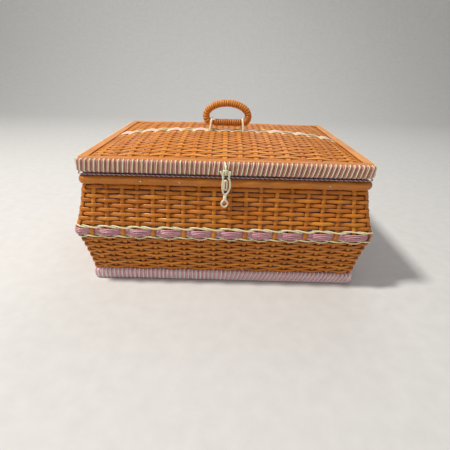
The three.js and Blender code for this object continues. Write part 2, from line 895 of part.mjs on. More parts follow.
function addHandle(handle) {
  const path = handlePath();
  const lengths = path.curves.map((curve) => curve.getLength());
  const length = lengths.reduce((sum, part) => sum + part, 0);
  const archStart = lengths[0] + lengths[1];
  const archEnd = length - archStart;
  const swell = caneRadius + gap + stripThickness - lidSeatClearance / 2;
  const shoulder = stripThickness / 2;

  // The cane's stations: thin under the windings, swelled where the bar and arch are lashed
  const stations = [];
  const stretch = (from, to, steps, radius) => {
    for (let i = 0; i <= steps; i++) {
      stations.push([from + ((to - from) * i) / steps, radius]);
    }
  };
  stretch(0, barWindingHalf, 1, caneRadius);
  stretch(barWindingHalf + shoulder, archStart - shoulder, 2 * arcSteps, swell);
  stretch(archStart, archEnd, 4 * arcSteps, caneRadius);
  stretch(archEnd + shoulder, length - barWindingHalf - shoulder, 2 * arcSteps, swell);
  stations.push([length - barWindingHalf, caneRadius]);
  const rings = stations.map(([s, radius]) => {
    const { point, inward } = pathFrame(path, length, s);
    return Array.from({ length: caneSides }, (_, j) => {
      const angle = (2 * Math.PI * j) / caneSides;
      return point
        .clone()
        .addScaledVector(inward, radius * Math.cos(angle))
        .addScaledVector(yAxis, radius * Math.sin(angle));
    });
  });
  addMesh(handle, "handle_core", loft(rings, true), cane);

  const archSeat = archStripWidth / 2 + gap;
  const arch = winding(
    path,
    length,
    archStart + archSeat,
    archEnd - archSeat,
    archLoops,
    archStripWidth,
  );
  addWinding(handle, "handle_arch_winding", arch);
  const barSeat = barStripWidth / 2 + gap;
  const barReach = barWindingHalf - barSeat;
  const bar = winding(path, length, -barReach, barReach, barLoops, barStripWidth);
  addWinding(handle, "handle_bar_winding", bar);
}

// Loops of lacing that hold the handle's bar to the lid's panel
function addHandleLoop(lid, name, x) {
  const radius = caneRadius + gap + stripThickness + gap + handleLoopThickness / 2;
  const foot = crownHeight(x, radius + handleLoopSpread) + gap - handleLift;
  const arc = Array.from({ length: 2 * arcSteps + 1 }, (_, i) => {
    const angle = Math.PI - (Math.PI * i) / (2 * arcSteps);
    return new THREE.Vector2(radius * Math.cos(angle), radius * Math.sin(angle));
  });
  const legTop = foot / 2;
  const wide = radius + handleLoopSpread;
  const loop = planarStrand({
    origin: new THREE.Vector3(x, 0, handleLift),
    across: yAxis,
    along: zAxis,
    points: [
      new THREE.Vector2(-wide, foot),
      new THREE.Vector2(-wide, legTop - handleLoopThickness),
      ...arc,
      new THREE.Vector2(wide, legTop - handleLoopThickness),
      new THREE.Vector2(wide, foot),
    ],
    closed: false,
    halfWidth: handleLoopWidth / 2,
    halfThickness: handleLoopThickness / 2,
  });
  addMesh(lid, name, loop, creamLacing);
}

// Hasp: strands over the lid's rim carry an oval loop with a neck and a finger ring
function addHaspAnchor(lid) {
  const anchor = planarStrand({
    origin: new THREE.Vector3(0, haspY, haspLift + anchorRun),
    across: yAxis,
    along: zAxis,
    points: stadium(anchorRingRadius, anchorRun),
    closed: true,
    halfWidth: anchorStrandRadius,
    halfThickness: anchorStrandRadius,
  });
  addMesh(lid, "hasp_anchor", anchor, creamLacing);
}

function haspStrand(points, closed, halfWidth) {
  return solidOf(
    planarStrand({
      origin: new THREE.Vector3(),
      across: xAxis,
      along: zAxis,
      points,
      closed,
      halfWidth,
      halfThickness: halfWidth,
    }),
  );
}

function addHasp(hasp) {
  // Each point is a share of the oval's half width and of its drop.
  const sideShares = [[0.82, 0.06], [0.84, 0.25], [1, 0.55], [0.82, 0.8], [0.3, 0.97]];
  const side = sideShares.map(([x, z]) => [x * haspHalfWidth, -z * haspOvalDrop]);
  const mirrored = side.map(([x, z]) => [-x, z]).reverse();
  const corners = [[0, 0], [haspTopHalfWidth, 0], ...side, ...mirrored, [-haspTopHalfWidth, 0]];
  const curve = new THREE.CatmullRomCurve3(
    corners.map(([x, z]) => new THREE.Vector3(x, z, 0)),
    true,
    "centripetal",
  );
  const line = curve.getSpacedPoints(4 * arcSteps).slice(0, -1);
  const oval = haspStrand(line, true, haspStrandRadius);

  const neckTop = -haspOvalDrop + haspStrandRadius;
  const neckFoot = -haspOvalDrop - haspNeckLength;
  const neckPoints = [new THREE.Vector2(0, neckTop), new THREE.Vector2(0, neckFoot)];
  const neck = haspStrand(neckPoints, false, haspNeckRadius);

  const ringZ = neckFoot - fingerRingHalfHeight + haspStrandRadius;
  const ringPoints = Array.from({ length: 3 * arcSteps }, (_, i) => {
    const angle = (2 * Math.PI * i) / (3 * arcSteps);
    const z = ringZ + fingerRingHalfHeight * Math.sin(angle);
    return new THREE.Vector2(fingerRingHalfWidth * Math.cos(angle), z);
  });
  const ring = haspStrand(ringPoints, true, haspStrandRadius);

  const ends = [-1, 1].map((s) => {
    const tilt = haspEndLength / Math.SQRT2;
    const foot = new THREE.Vector2(s * haspEndSide, -tilt);
    const tip = new THREE.Vector2(s * (haspEndSide + tilt), haspStrandRadius / 2);
    return haspStrand([foot, tip], false, anchorStrandRadius);
  });
  const joined = [neck, ring, ...ends].reduce((sum, piece) => sum.add(piece), oval);
  addMesh(hasp, "hasp_loop", geometryOf(joined), creamLacing);
}

// Assembly
const basket = new THREE.Group();
const body = new THREE.Group();
const lid = new THREE.Group();
const handle = new THREE.Group();
const hasp = new THREE.Group();
basket.add(body, lid);
lid.add(handle, hasp);
lid.position.z = lidFoot;
handle.position.z = handleLift;
hasp.position.set(0, haspY, haspLift);

addBase(body);
addWall(body);
addBelt(body);
addRimHoops(body);
addNails(body);
addLining(body);
addHingeEye(body, "hinge_eye_left", -hingeOffset);
addHingeEye(body, "hinge_eye_right", hingeOffset);
addKeeper(body);

addLidRim(lid);
addBands(lid);
addPanel(lid);
addLidLining(lid);
addHingeLink(lid, "hinge_link_left", -hingeOffset);
addHingeLink(lid, "hinge_link_right", hingeOffset);
addHandleLoop(lid, "handle_loop_left", -handleLoopOffset);
addHandleLoop(lid, "handle_loop_right", handleLoopOffset);
addHaspAnchor(lid);
addHandle(handle);
addHasp(hasp);

export default basket;
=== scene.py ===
# A woven cane sewing basket made of real strands: every cane, lacing turn and cord has its own form.
# Lengths are in millimetres in this script and become metres when a mesh is made.
import math

import bpy
import numpy as np
from mathutils import Matrix, Vector


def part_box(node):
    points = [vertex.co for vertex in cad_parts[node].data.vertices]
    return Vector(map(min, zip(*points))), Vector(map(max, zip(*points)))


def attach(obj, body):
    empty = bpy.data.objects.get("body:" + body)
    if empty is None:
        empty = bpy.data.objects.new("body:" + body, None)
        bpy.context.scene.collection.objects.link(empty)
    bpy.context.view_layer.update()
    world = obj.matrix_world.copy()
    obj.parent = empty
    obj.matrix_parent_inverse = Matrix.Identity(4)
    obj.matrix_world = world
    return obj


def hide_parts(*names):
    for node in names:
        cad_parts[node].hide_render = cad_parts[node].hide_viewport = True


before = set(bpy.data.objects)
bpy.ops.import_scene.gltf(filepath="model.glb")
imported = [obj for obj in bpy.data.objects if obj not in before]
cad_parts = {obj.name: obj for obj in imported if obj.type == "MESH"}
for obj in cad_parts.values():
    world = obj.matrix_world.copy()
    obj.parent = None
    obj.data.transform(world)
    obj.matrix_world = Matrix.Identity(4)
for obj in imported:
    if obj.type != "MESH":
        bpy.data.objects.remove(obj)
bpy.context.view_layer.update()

MM = 0.001
scene = bpy.context.scene
X_AXIS, Y_AXIS, Z_AXIS = np.eye(3)
rng = np.random.default_rng(11)

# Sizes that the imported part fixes
WIDTH, DEPTH, CORNER = 340.0, 260.0, 9.0
HALF_W, HALF_D = WIDTH / 2, DEPTH / 2
BASE_TOP = 15.0
BELT_Z, BELT_INSET = 73.5, -7.5
RIM_TOP, RIM_HALF = 139.5, 5.5
LID_FOOT = 143.5
WRAP_TOP = LID_FOOT + 14.8
BAND_TOP = LID_FOOT + 16.4
PANEL_W, PANEL_D, CROWN = 156.4, 116.4, 10.8
HANDLE_Z = 180.7
HINGE_Y, HINGE_Z = 134.0, 141.5
HASP_Y, HASP_Z = -133.6, 150.5


def new_object(name, data):
    """A new object in the scene."""
    made = bpy.data.objects.new(name, data)
    scene.collection.objects.link(made)
    return made


# Camera at the photograph's place
def add_camera():
    data = bpy.data.cameras.new("camera")
    data.lens = 26.4
    data.sensor_width = 36
    data.clip_start = 0.01
    data.clip_end = 20
    camera = new_object("camera", data)
    yaw, pitch, roll = 0.0031, 0.461, 0.0271
    ahead = np.array([math.sin(yaw) * math.cos(pitch), math.cos(yaw) * math.cos(pitch), -math.sin(pitch)])
    level = np.array([math.cos(yaw), -math.sin(yaw), 0.0])
    above = np.cross(level, ahead)
    matrix = np.eye(4)
    matrix[:3, 0] = math.cos(roll) * level + math.sin(roll) * above
    matrix[:3, 1] = math.cos(roll) * above - math.sin(roll) * level
    matrix[:3, 2] = -ahead
    matrix[:3, 3] = np.array([-0.42, -485.5, 258.95]) * MM
    camera.matrix_world = Matrix(matrix.tolist())
    scene.camera = camera


add_camera()


# Node graphs for procedural finishes
class Graph:
    def __init__(self, name):
        self.material = bpy.data.materials.new(name)
        self.material.use_nodes = True
        self.tree = self.material.node_tree
        self.tree.nodes.clear()
        self.shader = self.tree.nodes.new("ShaderNodeBsdfPrincipled")
        out = self.tree.nodes.new("ShaderNodeOutputMaterial")
        self.tree.links.new(self.shader.outputs[0], out.inputs[0])

    def feed(self, target, value):
        """Links an output to an input, or sets the input's value."""
        if isinstance(value, bpy.types.NodeSocket):
            self.tree.links.new(value, target)
        else:
            target.default_value = value

    def node(self, kind, inputs, output=0, **settings):
        """One output of a new node with the given inputs and settings."""
        node = self.tree.nodes.new("ShaderNode" + kind)
        for key, value in settings.items():
            setattr(node, key, value)
        for key, value in inputs.items():
            self.feed(node.inputs[key], value)
        return node.outputs[output]

    def finish(self, **values):
        """The material, once its shader has these values."""
        for key, value in values.items():
            self.feed(self.shader.inputs[key.replace("_", " ")], value)
        return self.material

    def tint(self):
        return self.node("Attribute", {}, "Fac", attribute_name="tint")

    def strand(self):
        """A strand's own coordinates: along it, across it and out of it, in millimetres."""
        return self.node("Attribute", {}, "Vector", attribute_name="grain")

    def stretch(self, vector, scale):
        return self.node("VectorMath", {0: vector, 1: scale}, operation="MULTIPLY")

    def grain(self, *scale):
        return self.stretch(self.strand(), scale)

    def place(self, *scale):
        return self.stretch(self.node("TexCoord", {}, "Object"), scale)

    def side(self, low, high, most):
        """A share that grows from a strand's crown, at the high value, down to its sides; the finishes
        paint shade on the sides with it.
        """
        height = self.node("SeparateXYZ", {0: self.strand()}, 2)
        return self.span(self.node("Math", {0: height}, operation="ABSOLUTE"), low, high, most, 0.0)

    def noise(self, vector, detail=2.0, roughness=0.5):
        values = {"Vector": vector, "Scale": 1.0, "Detail": detail, "Roughness": roughness}
        return self.node("TexNoise", values)

    def ramp(self, source, *stops):
        output = self.node("ValToRGB", {0: source})
        elements = output.node.color_ramp.elements
        while len(elements) < len(stops):
            elements.new(0.5)
        for element, (position, color) in zip(elements, stops):
            element.position = position
            element.color = (*color, 1.0)
        return output

    def span(self, source, low, high, to_low, to_high):
        limits = {"From Min": low, "From Max": high, "To Min": to_low, "To Max": to_high}
        return self.node("MapRange", {"Value": source, **limits})

    def sum(self, first, second, share):
        return self.node("Math", {0: second, 1: share, 2: first}, operation="MULTIPLY_ADD")

    def blend(self, share, first, second):
        """A mix of two colors, each an output or three numbers."""
        inputs = {0: share, 6: first, 7: second}
        for key in (6, 7):
            if isinstance(inputs[key], tuple):
                inputs[key] += (1.0,)
        return self.node("Mix", inputs, 2, data_type="RGBA")

    def bump(self, height, strength, distance):
        return self.node("Bump", {"Strength": strength, "Distance": distance * MM, "Height": height})


def darker(color, share):
    return tuple(share * c for c in color)


def cane_finish(name, dark, middle, light, gloss, streak, painted_side_shade=None):
    g = Graph(name)
    fine = g.noise(g.grain(0.045, streak, streak), 3.0, 0.6)
    broad = g.noise(g.grain(0.022, 0.05, 0.05))
    flecks = g.noise(g.grain(0.35, 1.1, 1.1), 2.0, 0.65)
    base = g.ramp(g.tint(), (0.0, dark), (0.5, middle), (1.0, light))
    warm = g.blend(g.span(broad, 0.35, 0.7, 0.0, 0.75), base, dark)
    lined = g.blend(g.span(fine, 0.42, 0.72, 0.0, 0.5), warm, light)
    color = g.blend(g.span(flecks, 0.66, 0.8, 0.0, 0.7), lined, darker(dark, 0.42))
    # Painted shade: each strand is darkened from its crown down to its sides, where it meets its
    # neighbours.
    if painted_side_shade:
        color = g.blend(g.side(*painted_side_shade), color, darker(dark, 0.3))
    return g.finish(
        Base_Color=color,
        Roughness=g.span(g.sum(fine, broad, 0.6), 0.5, 1.1, gloss, gloss + 0.18),
        Normal=g.bump(g.sum(fine, flecks, 0.5), 0.35, 0.25),
        Specular_IOR_Level=0.34,
        Coat_Weight=0.1,
        Coat_Roughness=0.12,
    )


def lacing_finish(name, dark, light, gloss=0.36, painted_side_shade=None):
    g = Graph(name)
    lines = g.noise(g.grain(0.06, 2.2, 2.2))
    worn = g.noise(g.grain(0.05, 0.3, 0.3), 3.0)
    # A darker tone for random soiled patches, which also sets the painted shade on the strands' sides.
    dirt_and_shade_tone = tuple(c * k for c, k in zip(dark, (0.72, 0.62, 0.5)))
    color = g.ramp(g.tint(), (0.0, dark), (1.0, light))
    color = g.blend(g.span(worn, 0.56, 0.85, 0.0, 0.45), color, dirt_and_shade_tone)
    # Painted shade: each lacing strand is darkened from its crown down to its sides.
    if painted_side_shade:
        color = g.blend(g.side(*painted_side_shade), color, darker(dirt_and_shade_tone, 0.35))
    return g.finish(
        Base_Color=color,
        Roughness=g.span(worn, 0.3, 0.8, gloss, gloss + 0.16),
        Normal=g.bump(lines, 0.25, 0.2),
        Specular_IOR_Level=0.5,
        Coat_Weight=0.15,
        Coat_Roughness=0.25,
    )


def speckled_finish(name, scale, detail, stops, rough, bump=None, **values):
    """A color and roughness that follow one noise."""
    g = Graph(name)
    spots = g.noise(g.place(*scale), *detail)
    if bump:
        values["Normal"] = g.bump(spots, *bump)
    if rough:
        values["Roughness"] = g.span(spots, 0.2, 0.8, *rough)
    return g.finish(Base_Color=g.ramp(spots, *stops), **values)


# The last tuple of the weave, stake and strip finishes sets the painted shade along the strands' sides.
weave_cane = cane_finish(
    "weave_cane", (0.42, 0.105, 0.004), (0.68, 0.2, 0.012), (0.84, 0.34, 0.04), 0.34, 1.5, (0.1, 0.78, 0.95)
)
stake_cane = cane_finish(
    "stake_cane", (0.48, 0.125, 0.005), (0.7, 0.215, 0.012), (0.82, 0.31, 0.03), 0.34, 1.5, (0.1, 0.6, 0.7)
)
strip_cane = cane_finish(
    "strip_cane", (0.56, 0.17, 0.018), (0.72, 0.26, 0.035), (0.84, 0.36, 0.07), 0.22, 1.5, (0.1, 0.95, 0.85)
)
band_cane = cane_finish(
    "band_cane", (0.52, 0.17, 0.025), (0.7, 0.26, 0.05), (0.82, 0.36, 0.09), 0.22, 0.7
)
# The hoop's cane is darker than the other canes: painted shade from the lid's overhang on top of the cane's
# own colour.
shaded_hoop_cane = cane_finish(
    "shaded_hoop_cane", (0.42, 0.12, 0.012), (0.58, 0.19, 0.026), (0.72, 0.28, 0.055), 0.16, 0.7
)
# The last tuple of each lacing finish that has one sets the painted shade along the strands' sides.
pink = lacing_finish("pink_lacing", (0.46, 0.16, 0.14), (0.78, 0.36, 0.33), 0.3, (0.05, 0.6, 1.0))
belt_pink = lacing_finish("belt_lacing", (0.7, 0.31, 0.39), (0.88, 0.46, 0.51), 0.3, (0.0, 0.5, 1.0))
pale_pink = lacing_finish(
    "pale_pink_lacing", (0.82, 0.4, 0.48), (0.95, 0.61, 0.67), 0.34, (0.05, 0.6, 0.9)
)
cream = lacing_finish("cream_lacing", (0.84, 0.74, 0.4), (0.93, 0.87, 0.57), 0.3, (0.05, 0.5, 0.75))
pale_cream = lacing_finish(
    "pale_cream_lacing", (0.92, 0.87, 0.78), (0.97, 0.95, 0.9), 0.34, (0.05, 0.6, 0.8)
)
cord_cream = lacing_finish("cream_cord", (0.9, 0.84, 0.6), (0.96, 0.93, 0.74))

g = Graph("satin")
cloth = g.noise(g.place(900.0, 900.0, 900.0), 1.0)
slubs = g.noise(g.place(40.0, 40.0, 320.0))
satin = g.finish(
    Base_Color=g.ramp(slubs, (0.25, (0.36, 0.24, 0.46)), (0.75, (0.5, 0.36, 0.6))),
    Roughness=g.span(slubs, 0.2, 0.8, 0.32, 0.46),
    Normal=g.bump(g.sum(slubs, cloth, 0.6), 0.2, 0.15),
    Sheen_Weight=0.35,
    Sheen_Roughness=0.4,
    Specular_IOR_Level=0.45,
)

g = Graph("braid")
threads = g.noise(g.grain(2.6, 2.6, 2.6), 3.0, 0.65)
bright = g.ramp(threads, (0.3, (0.5, 0.26, 0.28)), (0.72, (0.95, 0.72, 0.74)))
braid = g.finish(
    # Low tints blend the threads towards a near-black maroon: painted shade for strands in the shaded slot
    # between lid and rim.
    Base_Color=g.blend(g.tint(), (0.15, 0.078, 0.084), bright),
    Roughness=g.span(threads, 0.2, 0.8, 0.5, 0.72),
    Normal=g.bump(threads, 0.5, 0.3),
    Sheen_Weight=0.25,
)
card = speckled_finish(
    "card", (260.0, 260.0, 260.0), (4.0, 0.65), ((0.3, (0.36, 0.29, 0.19)), (0.75, (0.52, 0.44, 0.31))),
    (0.8, 0.95), (0.3, 0.2)
)
nail = speckled_finish(
    "nail", (900.0, 900.0, 900.0), (3.0,), ((0.3, (0.35, 0.32, 0.27)), (0.7, (0.62, 0.58, 0.5))),
    (0.28, 0.5), (0.3, 0.1), Metallic=1.0
)
plain_cane = speckled_finish(
    "plain_cane", (90.0, 90.0, 900.0), (3.0, 0.6), ((0.3, (0.4, 0.17, 0.05)), (0.7, (0.62, 0.32, 0.11))),
    (0.4, 0.6), (0.3, 0.2)
)
floor_finish = speckled_finish(
    "studio_floor", (60.0, 60.0, 60.0), (3.0,), ((0.3, (0.64, 0.64, 0.64)), (0.7, (0.68, 0.68, 0.68))),
    None, Roughness=0.85, Specular_IOR_Level=0.2
)


def unit(vectors):
    return vectors / np.maximum(np.linalg.norm(vectors, axis=-1, keepdims=True), 1e-9)


def square_to(axis, ahead):
    """What is left of an axis without its part along a direction."""
    return axis - ahead * np.sum(axis * ahead, axis=-1, keepdims=True)


def side_of(k):
    """1 for an even number and -1 for an odd one."""
    return 1 - 2 * (k % 2)


def with_middles(values):
    """The values, with the middle of each neighboring pair between them."""
    middles = (values[1:] + values[:-1]) / 2
    return np.append(np.stack([values[:-1], middles], -1).ravel(), values[-1])


def ring_quads(rings, sides, closed=True):
    """Faces between rings of points, each with as many sides."""
    here = np.arange(rings if closed else rings - 1)[:, None] * sides
    there = (here + sides) % (rings * sides)
    j = np.arange(sides)
    after = (j + 1) % sides
    return np.stack([here + j, here + after, there + after, there + j], -1).reshape(-1, 4)


def raised(values, power):
    """Values to a power, with their signs kept."""
    return np.sign(values) * np.abs(values) ** power


def oval(width, thickness, sides=8, power=0.8):
    turn = 2 * np.pi * (np.arange(sides) + 0.5) / sides
    sides = raised(np.cos(turn), power) * width / 2, raised(np.sin(turn), power) * thickness / 2
    return np.stack(sides, -1)


def widened(section, width, height=1.0):
    """A section for each point of a line, stretched to the widths and heights there."""
    return section * np.stack(np.broadcast_arrays(width, height), -1)[:, None]


def round_section(radius, sides=8):
    return oval(2 * radius, 2 * radius, sides, 1.0)


def heading(line, closed=False):
    """Direction of a line at each of its points."""
    if closed:
        return unit(np.roll(line, -1, 0) - np.roll(line, 1, 0))
    return unit(np.gradient(line, axis=0))


def drift(places, loop, size, waves, low):
    """A smooth seeded wander that closes on itself after one loop."""
    total = np.zeros_like(places)
    for k in range(low, low + waves):
        total += np.cos(2 * np.pi * (k * places / loop + rng.random())) * rng.normal()
    return size * total / math.sqrt(waves)


# Swept closed tubes, gathered into one mesh with grain coordinates and a tint for each
class Strands:
    GRAIN_SHIFT = 211.7

    def __init__(self):
        self.points, self.grain, self.tints, self.faces = [], [], [], []
        self.total = 0

    def add(self, line, wide, out, section, closed=False, tint=None):
        count = len(line)
        section = np.broadcast_to(section, (count, *section.shape[-2:]))
        sides = section.shape[1]
        wide = unit(np.broadcast_to(wide, line.shape))
        out = unit(np.broadcast_to(out, line.shape))
        points = line[:, None] + wide[:, None] * section[:, :, :1] + out[:, None] * section[:, :, 1:]
        step = np.linalg.norm(np.diff(line, axis=0), axis=1)
        along = np.concatenate([[0.0], np.cumsum(step)]) + self.GRAIN_SHIFT * len(self.points)
        grain = np.concatenate([np.repeat(along[:, None, None], sides, 1), section], axis=2)
        x, y = section[0].T
        turn = x @ np.roll(y, -1) - y @ np.roll(x, -1)
        ahead = line[1] - line[0]
        faces_out = np.dot(np.cross(wide[0], out[0]), ahead) * turn > 0
        quads = ring_quads(count, sides, closed) + self.total
        self.faces += (quads if faces_out else quads[:, ::-1]).tolist()
        if not closed:
            start = list(range(self.total, self.total + sides))
            end = [k + (count - 1) * sides for k in start]
            self.faces += [start[::-1], end] if faces_out else [start, end[::-1]]
        self.points.append(points.reshape(-1, 3))
        self.grain.append(grain.reshape(-1, 3))
        self.tints.append(np.full(count * sides, rng.random() if tint is None else tint))
        self.total += count * sides

    def sweep(self, line, axis, section, closed=False, tint=None):
        """A strand whose width keeps as close to an axis as its line allows."""
        ahead = heading(line, closed)
        wide = square_to(axis, ahead)
        self.add(line, wide, np.cross(ahead, wide), section, closed, tint)

    def build(self, name, material, body, slot, *nodes):
        points, grain, tints = map(np.concatenate, (self.points, self.grain, self.tints))
        make_mesh(name, points, self.faces, material, body, nodes, grain, tints)


def make_mesh(name, points, faces, material, body, nodes=(), grain=None, tints=None):
    """A piece from points in millimetres, with the grain and tints that its material reads."""
    points = points.reshape(-1, 3)
    grain = points if grain is None else grain
    tints = np.full(len(points), 0.5) if tints is None else tints
    mesh = bpy.data.meshes.new(name)
    mesh.from_pydata((points * MM).tolist(), [], faces)
    mesh.shade_smooth()
    held = mesh.attributes.new("grain", "FLOAT_VECTOR", "POINT")
    held.data.foreach_set("vector", grain.astype(np.float32).ravel())
    held = mesh.attributes.new("tint", "FLOAT", "POINT")
    held.data.foreach_set("value", tints.astype(np.float32))
    mesh.materials.append(material)
    piece = new_object(name, mesh)
    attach(piece, body)
    if nodes:
        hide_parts(*nodes)
    return piece


# The rim's rounded loop: u runs from the middle of the left front corner, along the front first
FAN = 30.0
LOOP_SIDES = (HALF_W, HALF_D, HALF_W, HALF_D)


def corner_radius(inset):
    return np.clip(CORNER - np.asarray(inset, float), 0.5, CORNER)


def side_reach(half, inset):
    """Length from a side's middle to the middle of its corner."""
    radius = corner_radius(inset)
    return half - inset - radius + radius * math.pi / 4


def loop_corners(inset):
    """Distances round the loop to the middles of its corners."""
    return np.cumsum([2 * side_reach(half, inset) for half in LOOP_SIDES])


RIM_LOOP = float(loop_corners(0.0)[-1])


def outline(u, inset, z=0.0, base=0.0):
    """Place and outward normal at the distance u round the loop of the base inset, carried to another
    inset: straight in on the sides, and fanned towards the diagonal near the corners."""
    u, inset, z = (np.asarray(part, float) for part in np.broadcast_arrays(u, inset, z))
    ends = loop_corners(base)
    u = np.mod(u, ends[-1])
    leg = np.minimum(np.searchsorted(ends, u, side="right"), 3)
    half = np.array(LOOP_SIDES)[leg]
    reach = side_reach(half, base)
    along = u - ends[leg] + reach
    radius = corner_radius(inset)
    calm = half - FAN
    far = np.abs(along)
    squeezed = calm + (far - calm) * (side_reach(half, inset) - calm) / (reach - calm)
    far = np.where(far > calm, squeezed, far)
    flat = half - inset - radius
    angle = np.clip((far - flat) / radius, 0.0, math.pi / 4)
    sign = np.sign(along)
    across = sign * (np.minimum(far, flat) + radius * np.sin(angle))
    depth = HALF_W + HALF_D - half - inset - radius + radius * np.cos(angle)
    cos, sin = np.cos(leg * math.pi / 2), np.sin(leg * math.pi / 2)

    def turned(x, y, height):
        return np.stack([x * cos + y * sin, x * sin - y * cos, height], -1)

    return turned(across, depth, z), turned(sign * np.sin(angle), np.cos(angle), np.zeros_like(u))


def rim_sides():
    """Each side's half length, its reach round the loop and the place of its middle."""
    start = 0.0
    for half in LOOP_SIDES:
        reach = float(side_reach(half, 0.0))
        yield half, reach, start + reach
        start += 2 * reach


def side_marks(half, reach, straight, turning):
    """Distances from a side's middle, closer together where the loop turns."""
    edge = half - CORNER - 2.0
    parts = ((-reach, -edge, turning), (-edge, edge, straight), (edge, reach, turning))
    return np.concatenate([np.linspace(*part, endpoint=False) for part in parts])


# Stakes: fixed places on the belt, closer together behind than in front
STAKES = 68
STAKE_STEP = 18.15
FRONT_STAKES = 16
FIRST_STAKE_X = -157.4
FIRST_STAKE = float(side_reach(HALF_W, BELT_INSET)) + FIRST_STAKE_X
CORNER_STAKES = (18, 33, 52, 67)
BELT_CORNERS = loop_corners(BELT_INSET)
BELT_LOOP = float(BELT_CORNERS[-1])


def stake_place(index):
    """Place on the belt's loop of a stake, or of a spot between two stakes."""
    known = [0, FRONT_STAKES, *CORNER_STAKES, STAKES]
    front_end = FIRST_STAKE + FRONT_STAKES * STAKE_STEP
    return np.interp(index, known, [FIRST_STAKE, front_end, *BELT_CORNERS, BELT_LOOP + FIRST_STAKE])


# Middle of the woven wall as [z, inset]
WALL_LINE = np.array([
    [0.0, 7.0], [15.3, 4.1], [60.0, -4.6], [65.5, -6.0], [69.5, -7.7], [73.5, -8.2],
    [77.5, -7.7], [81.5, -6.0], [86.0, -4.5], [124.0, 4.2], [128.5, 6.6], [132.0, 7.7], [150.0, 7.8],
])


def wall_inset(z):
    fine = np.linspace(0.0, 150.0, 601)
    rough = np.interp(fine, *WALL_LINE.T)
    soft = np.convolve(np.pad(rough, 6, "edge"), np.ones(13) / 13, "valid")
    return np.interp(z, fine, soft)


def wall_strand(u, z, push):
    """Places on the woven wall, pushed out along its own slope, with the strand's two directions."""
    place, normal = outline(u, wall_inset(z), z, BELT_INSET)
    slope = ((wall_inset(z + 1.0) - wall_inset(z - 1.0)) / 2.0)[:, None]
    up = unit(Z_AXIS - normal * slope)
    out = unit(normal + Z_AXIS * slope)
    return place + out * push[:, None], up, out


STAKE_FOOT, LAST_BEND, STAKE_TOP = 15.4, 131.0, 139.0
WEAVE_PUSH = 1.6
WEAVER_STEPS = 6
UPPER_ROWS = [83.9 + 5.2 * k for k in range(9)]
LOWER_ROWS = [63.6 - 4.2 * k for k in range(12)]


def weave_wave(index):
    """Flat between the stakes, with a short bump over or under each one."""
    turn = np.cos(np.pi * index)
    return 0.3 * turn + 0.7 * turn ** 3


def add_wall_weavers():
    index = np.arange(STAKES * WEAVER_STEPS) / WEAVER_STEPS
    u = stake_place(index)
    kinds = ("upper", UPPER_ROWS, 4.75, ["body_wall"]), ("lower", LOWER_ROWS, 4.1, [])
    for name, rows, width, nodes in kinds:
        strands = Strands()
        for k, row in enumerate(rows):
            push = WEAVE_PUSH * side_of(k) * weave_wave(index) * (1 + drift(u, BELT_LOOP, 0.06, 8, 9))
            z = row + drift(u, BELT_LOOP, 0.22, 10, 4)
            line, up, out = wall_strand(u, z, push)
            lean = drift(u, BELT_LOOP, 0.07, 10, 6)[:, None]
            size = (1 + drift(u, BELT_LOOP, 0.03, 8, 5))[:, None, None]
            strands.add(line, up + out * lean, out - up * lean, oval(width, 1.95) * size, True)
        strands.build(f"wall_weavers_{name}", weave_cane, "body", "weave", *nodes)


def add_stakes():
    strands = Strands()
    rows = [(z, side_of(k)) for group in (UPPER_ROWS, LOWER_ROWS) for k, z in enumerate(group)]
    rows = sorted(rows + [(BELT_Z, -1)])
    heights, sides = [STAKE_FOOT], [0]
    for (z, side), (after, _) in zip(rows, rows[1:] + [(LAST_BEND, 0)]):
        heights += [z, (z + after) / 2]
        sides += [side, 0]
    z = np.array(heights + [LAST_BEND + 0.5, STAKE_TOP])
    sides = np.array(sides + [0, 0])
    slack = np.interp(z, [BASE_TOP, BELT_Z - 0.5, STAKE_TOP], [0.6, 0, 0.6])
    for k in range(STAKES):
        u = stake_place(k) + 0.35 * rng.normal() + slack * rng.normal()
        line, up, out = wall_strand(u, z, -0.42 * sides * side_of(k))
        corner = 3.0 if k in CORNER_STAKES else 0.0
        strands.add(line, np.cross(up, out), out, oval(5.3 + corner + 0.25 * rng.normal(), 1.5, 6, 0.7))
    # Flat canes on edge fill the corners between the weave and the lining
    z = np.linspace(24.0, 126.0, 22)
    wall = wall_inset(z)
    lining = np.interp(z, [20.0, 122.0], [7.0, 13.0])
    near = np.full(len(z), -2.4)
    far = 0.414 * (CORNER - wall) - 1.414 * (lining - wall) + 0.9
    deep = widened(oval(1.8, 1.0), 1.0, near - far)
    for corner in BELT_CORNERS:
        line, up, out = wall_strand(np.full(len(z), corner), z, (near + far) / 2)
        strands.add(line, np.cross(up, out), out, deep, False, 0.4)
    strands.build("wall_stakes", stake_cane, "body", "weave")


# A lacing bundle has its strands on both sides of a middle one
BUNDLE = (-2, -1, 0, 1, 2)


# Belt: a bundle of lacing over every second stake, between two twined pairs
def add_belt():
    index = np.arange(STAKES * 4) / 4
    u = stake_place(index)
    wave = np.cos(np.pi * index)
    bundle = Strands()
    for k in BUNDLE:
        push = -2.1 * wave + drift(u, BELT_LOOP, 0.12, 12, 8) + 0.25 * (2 - abs(k)) * np.maximum(-wave, 0)
        z = BELT_Z + k * 1.76 * (0.98 + 0.035 * wave) + drift(u, BELT_LOOP, 0.12, 10, 6)
        line, up, out = wall_strand(u, z, push)
        bundle.add(line, up, out, oval(1.5, 1.8, 8, 1.0), True)
    bundle.build("belt_lacing", belt_pink, "body", "pink_lacing", "belt_bundle")
    for name, tilt in (("top", 1), ("bottom", -1)):
        pair = Strands()
        for side in (1, -1):
            z = BELT_Z + tilt * (6.0 - 0.75 * wave) + side * 0.85 * np.sin(np.pi * index)
            z += drift(u, BELT_LOOP, 0.1, 10, 6)
            line, up, out = wall_strand(u, z, 0.2 - side * 1.85 * wave)
            pair.add(line, up, out, oval(1.95, 1.8, 8, 1.0), True)
        pair.build(f"belt_twine_pair_{name}", cream, "body", "cream_lacing", f"belt_twine_{name}")


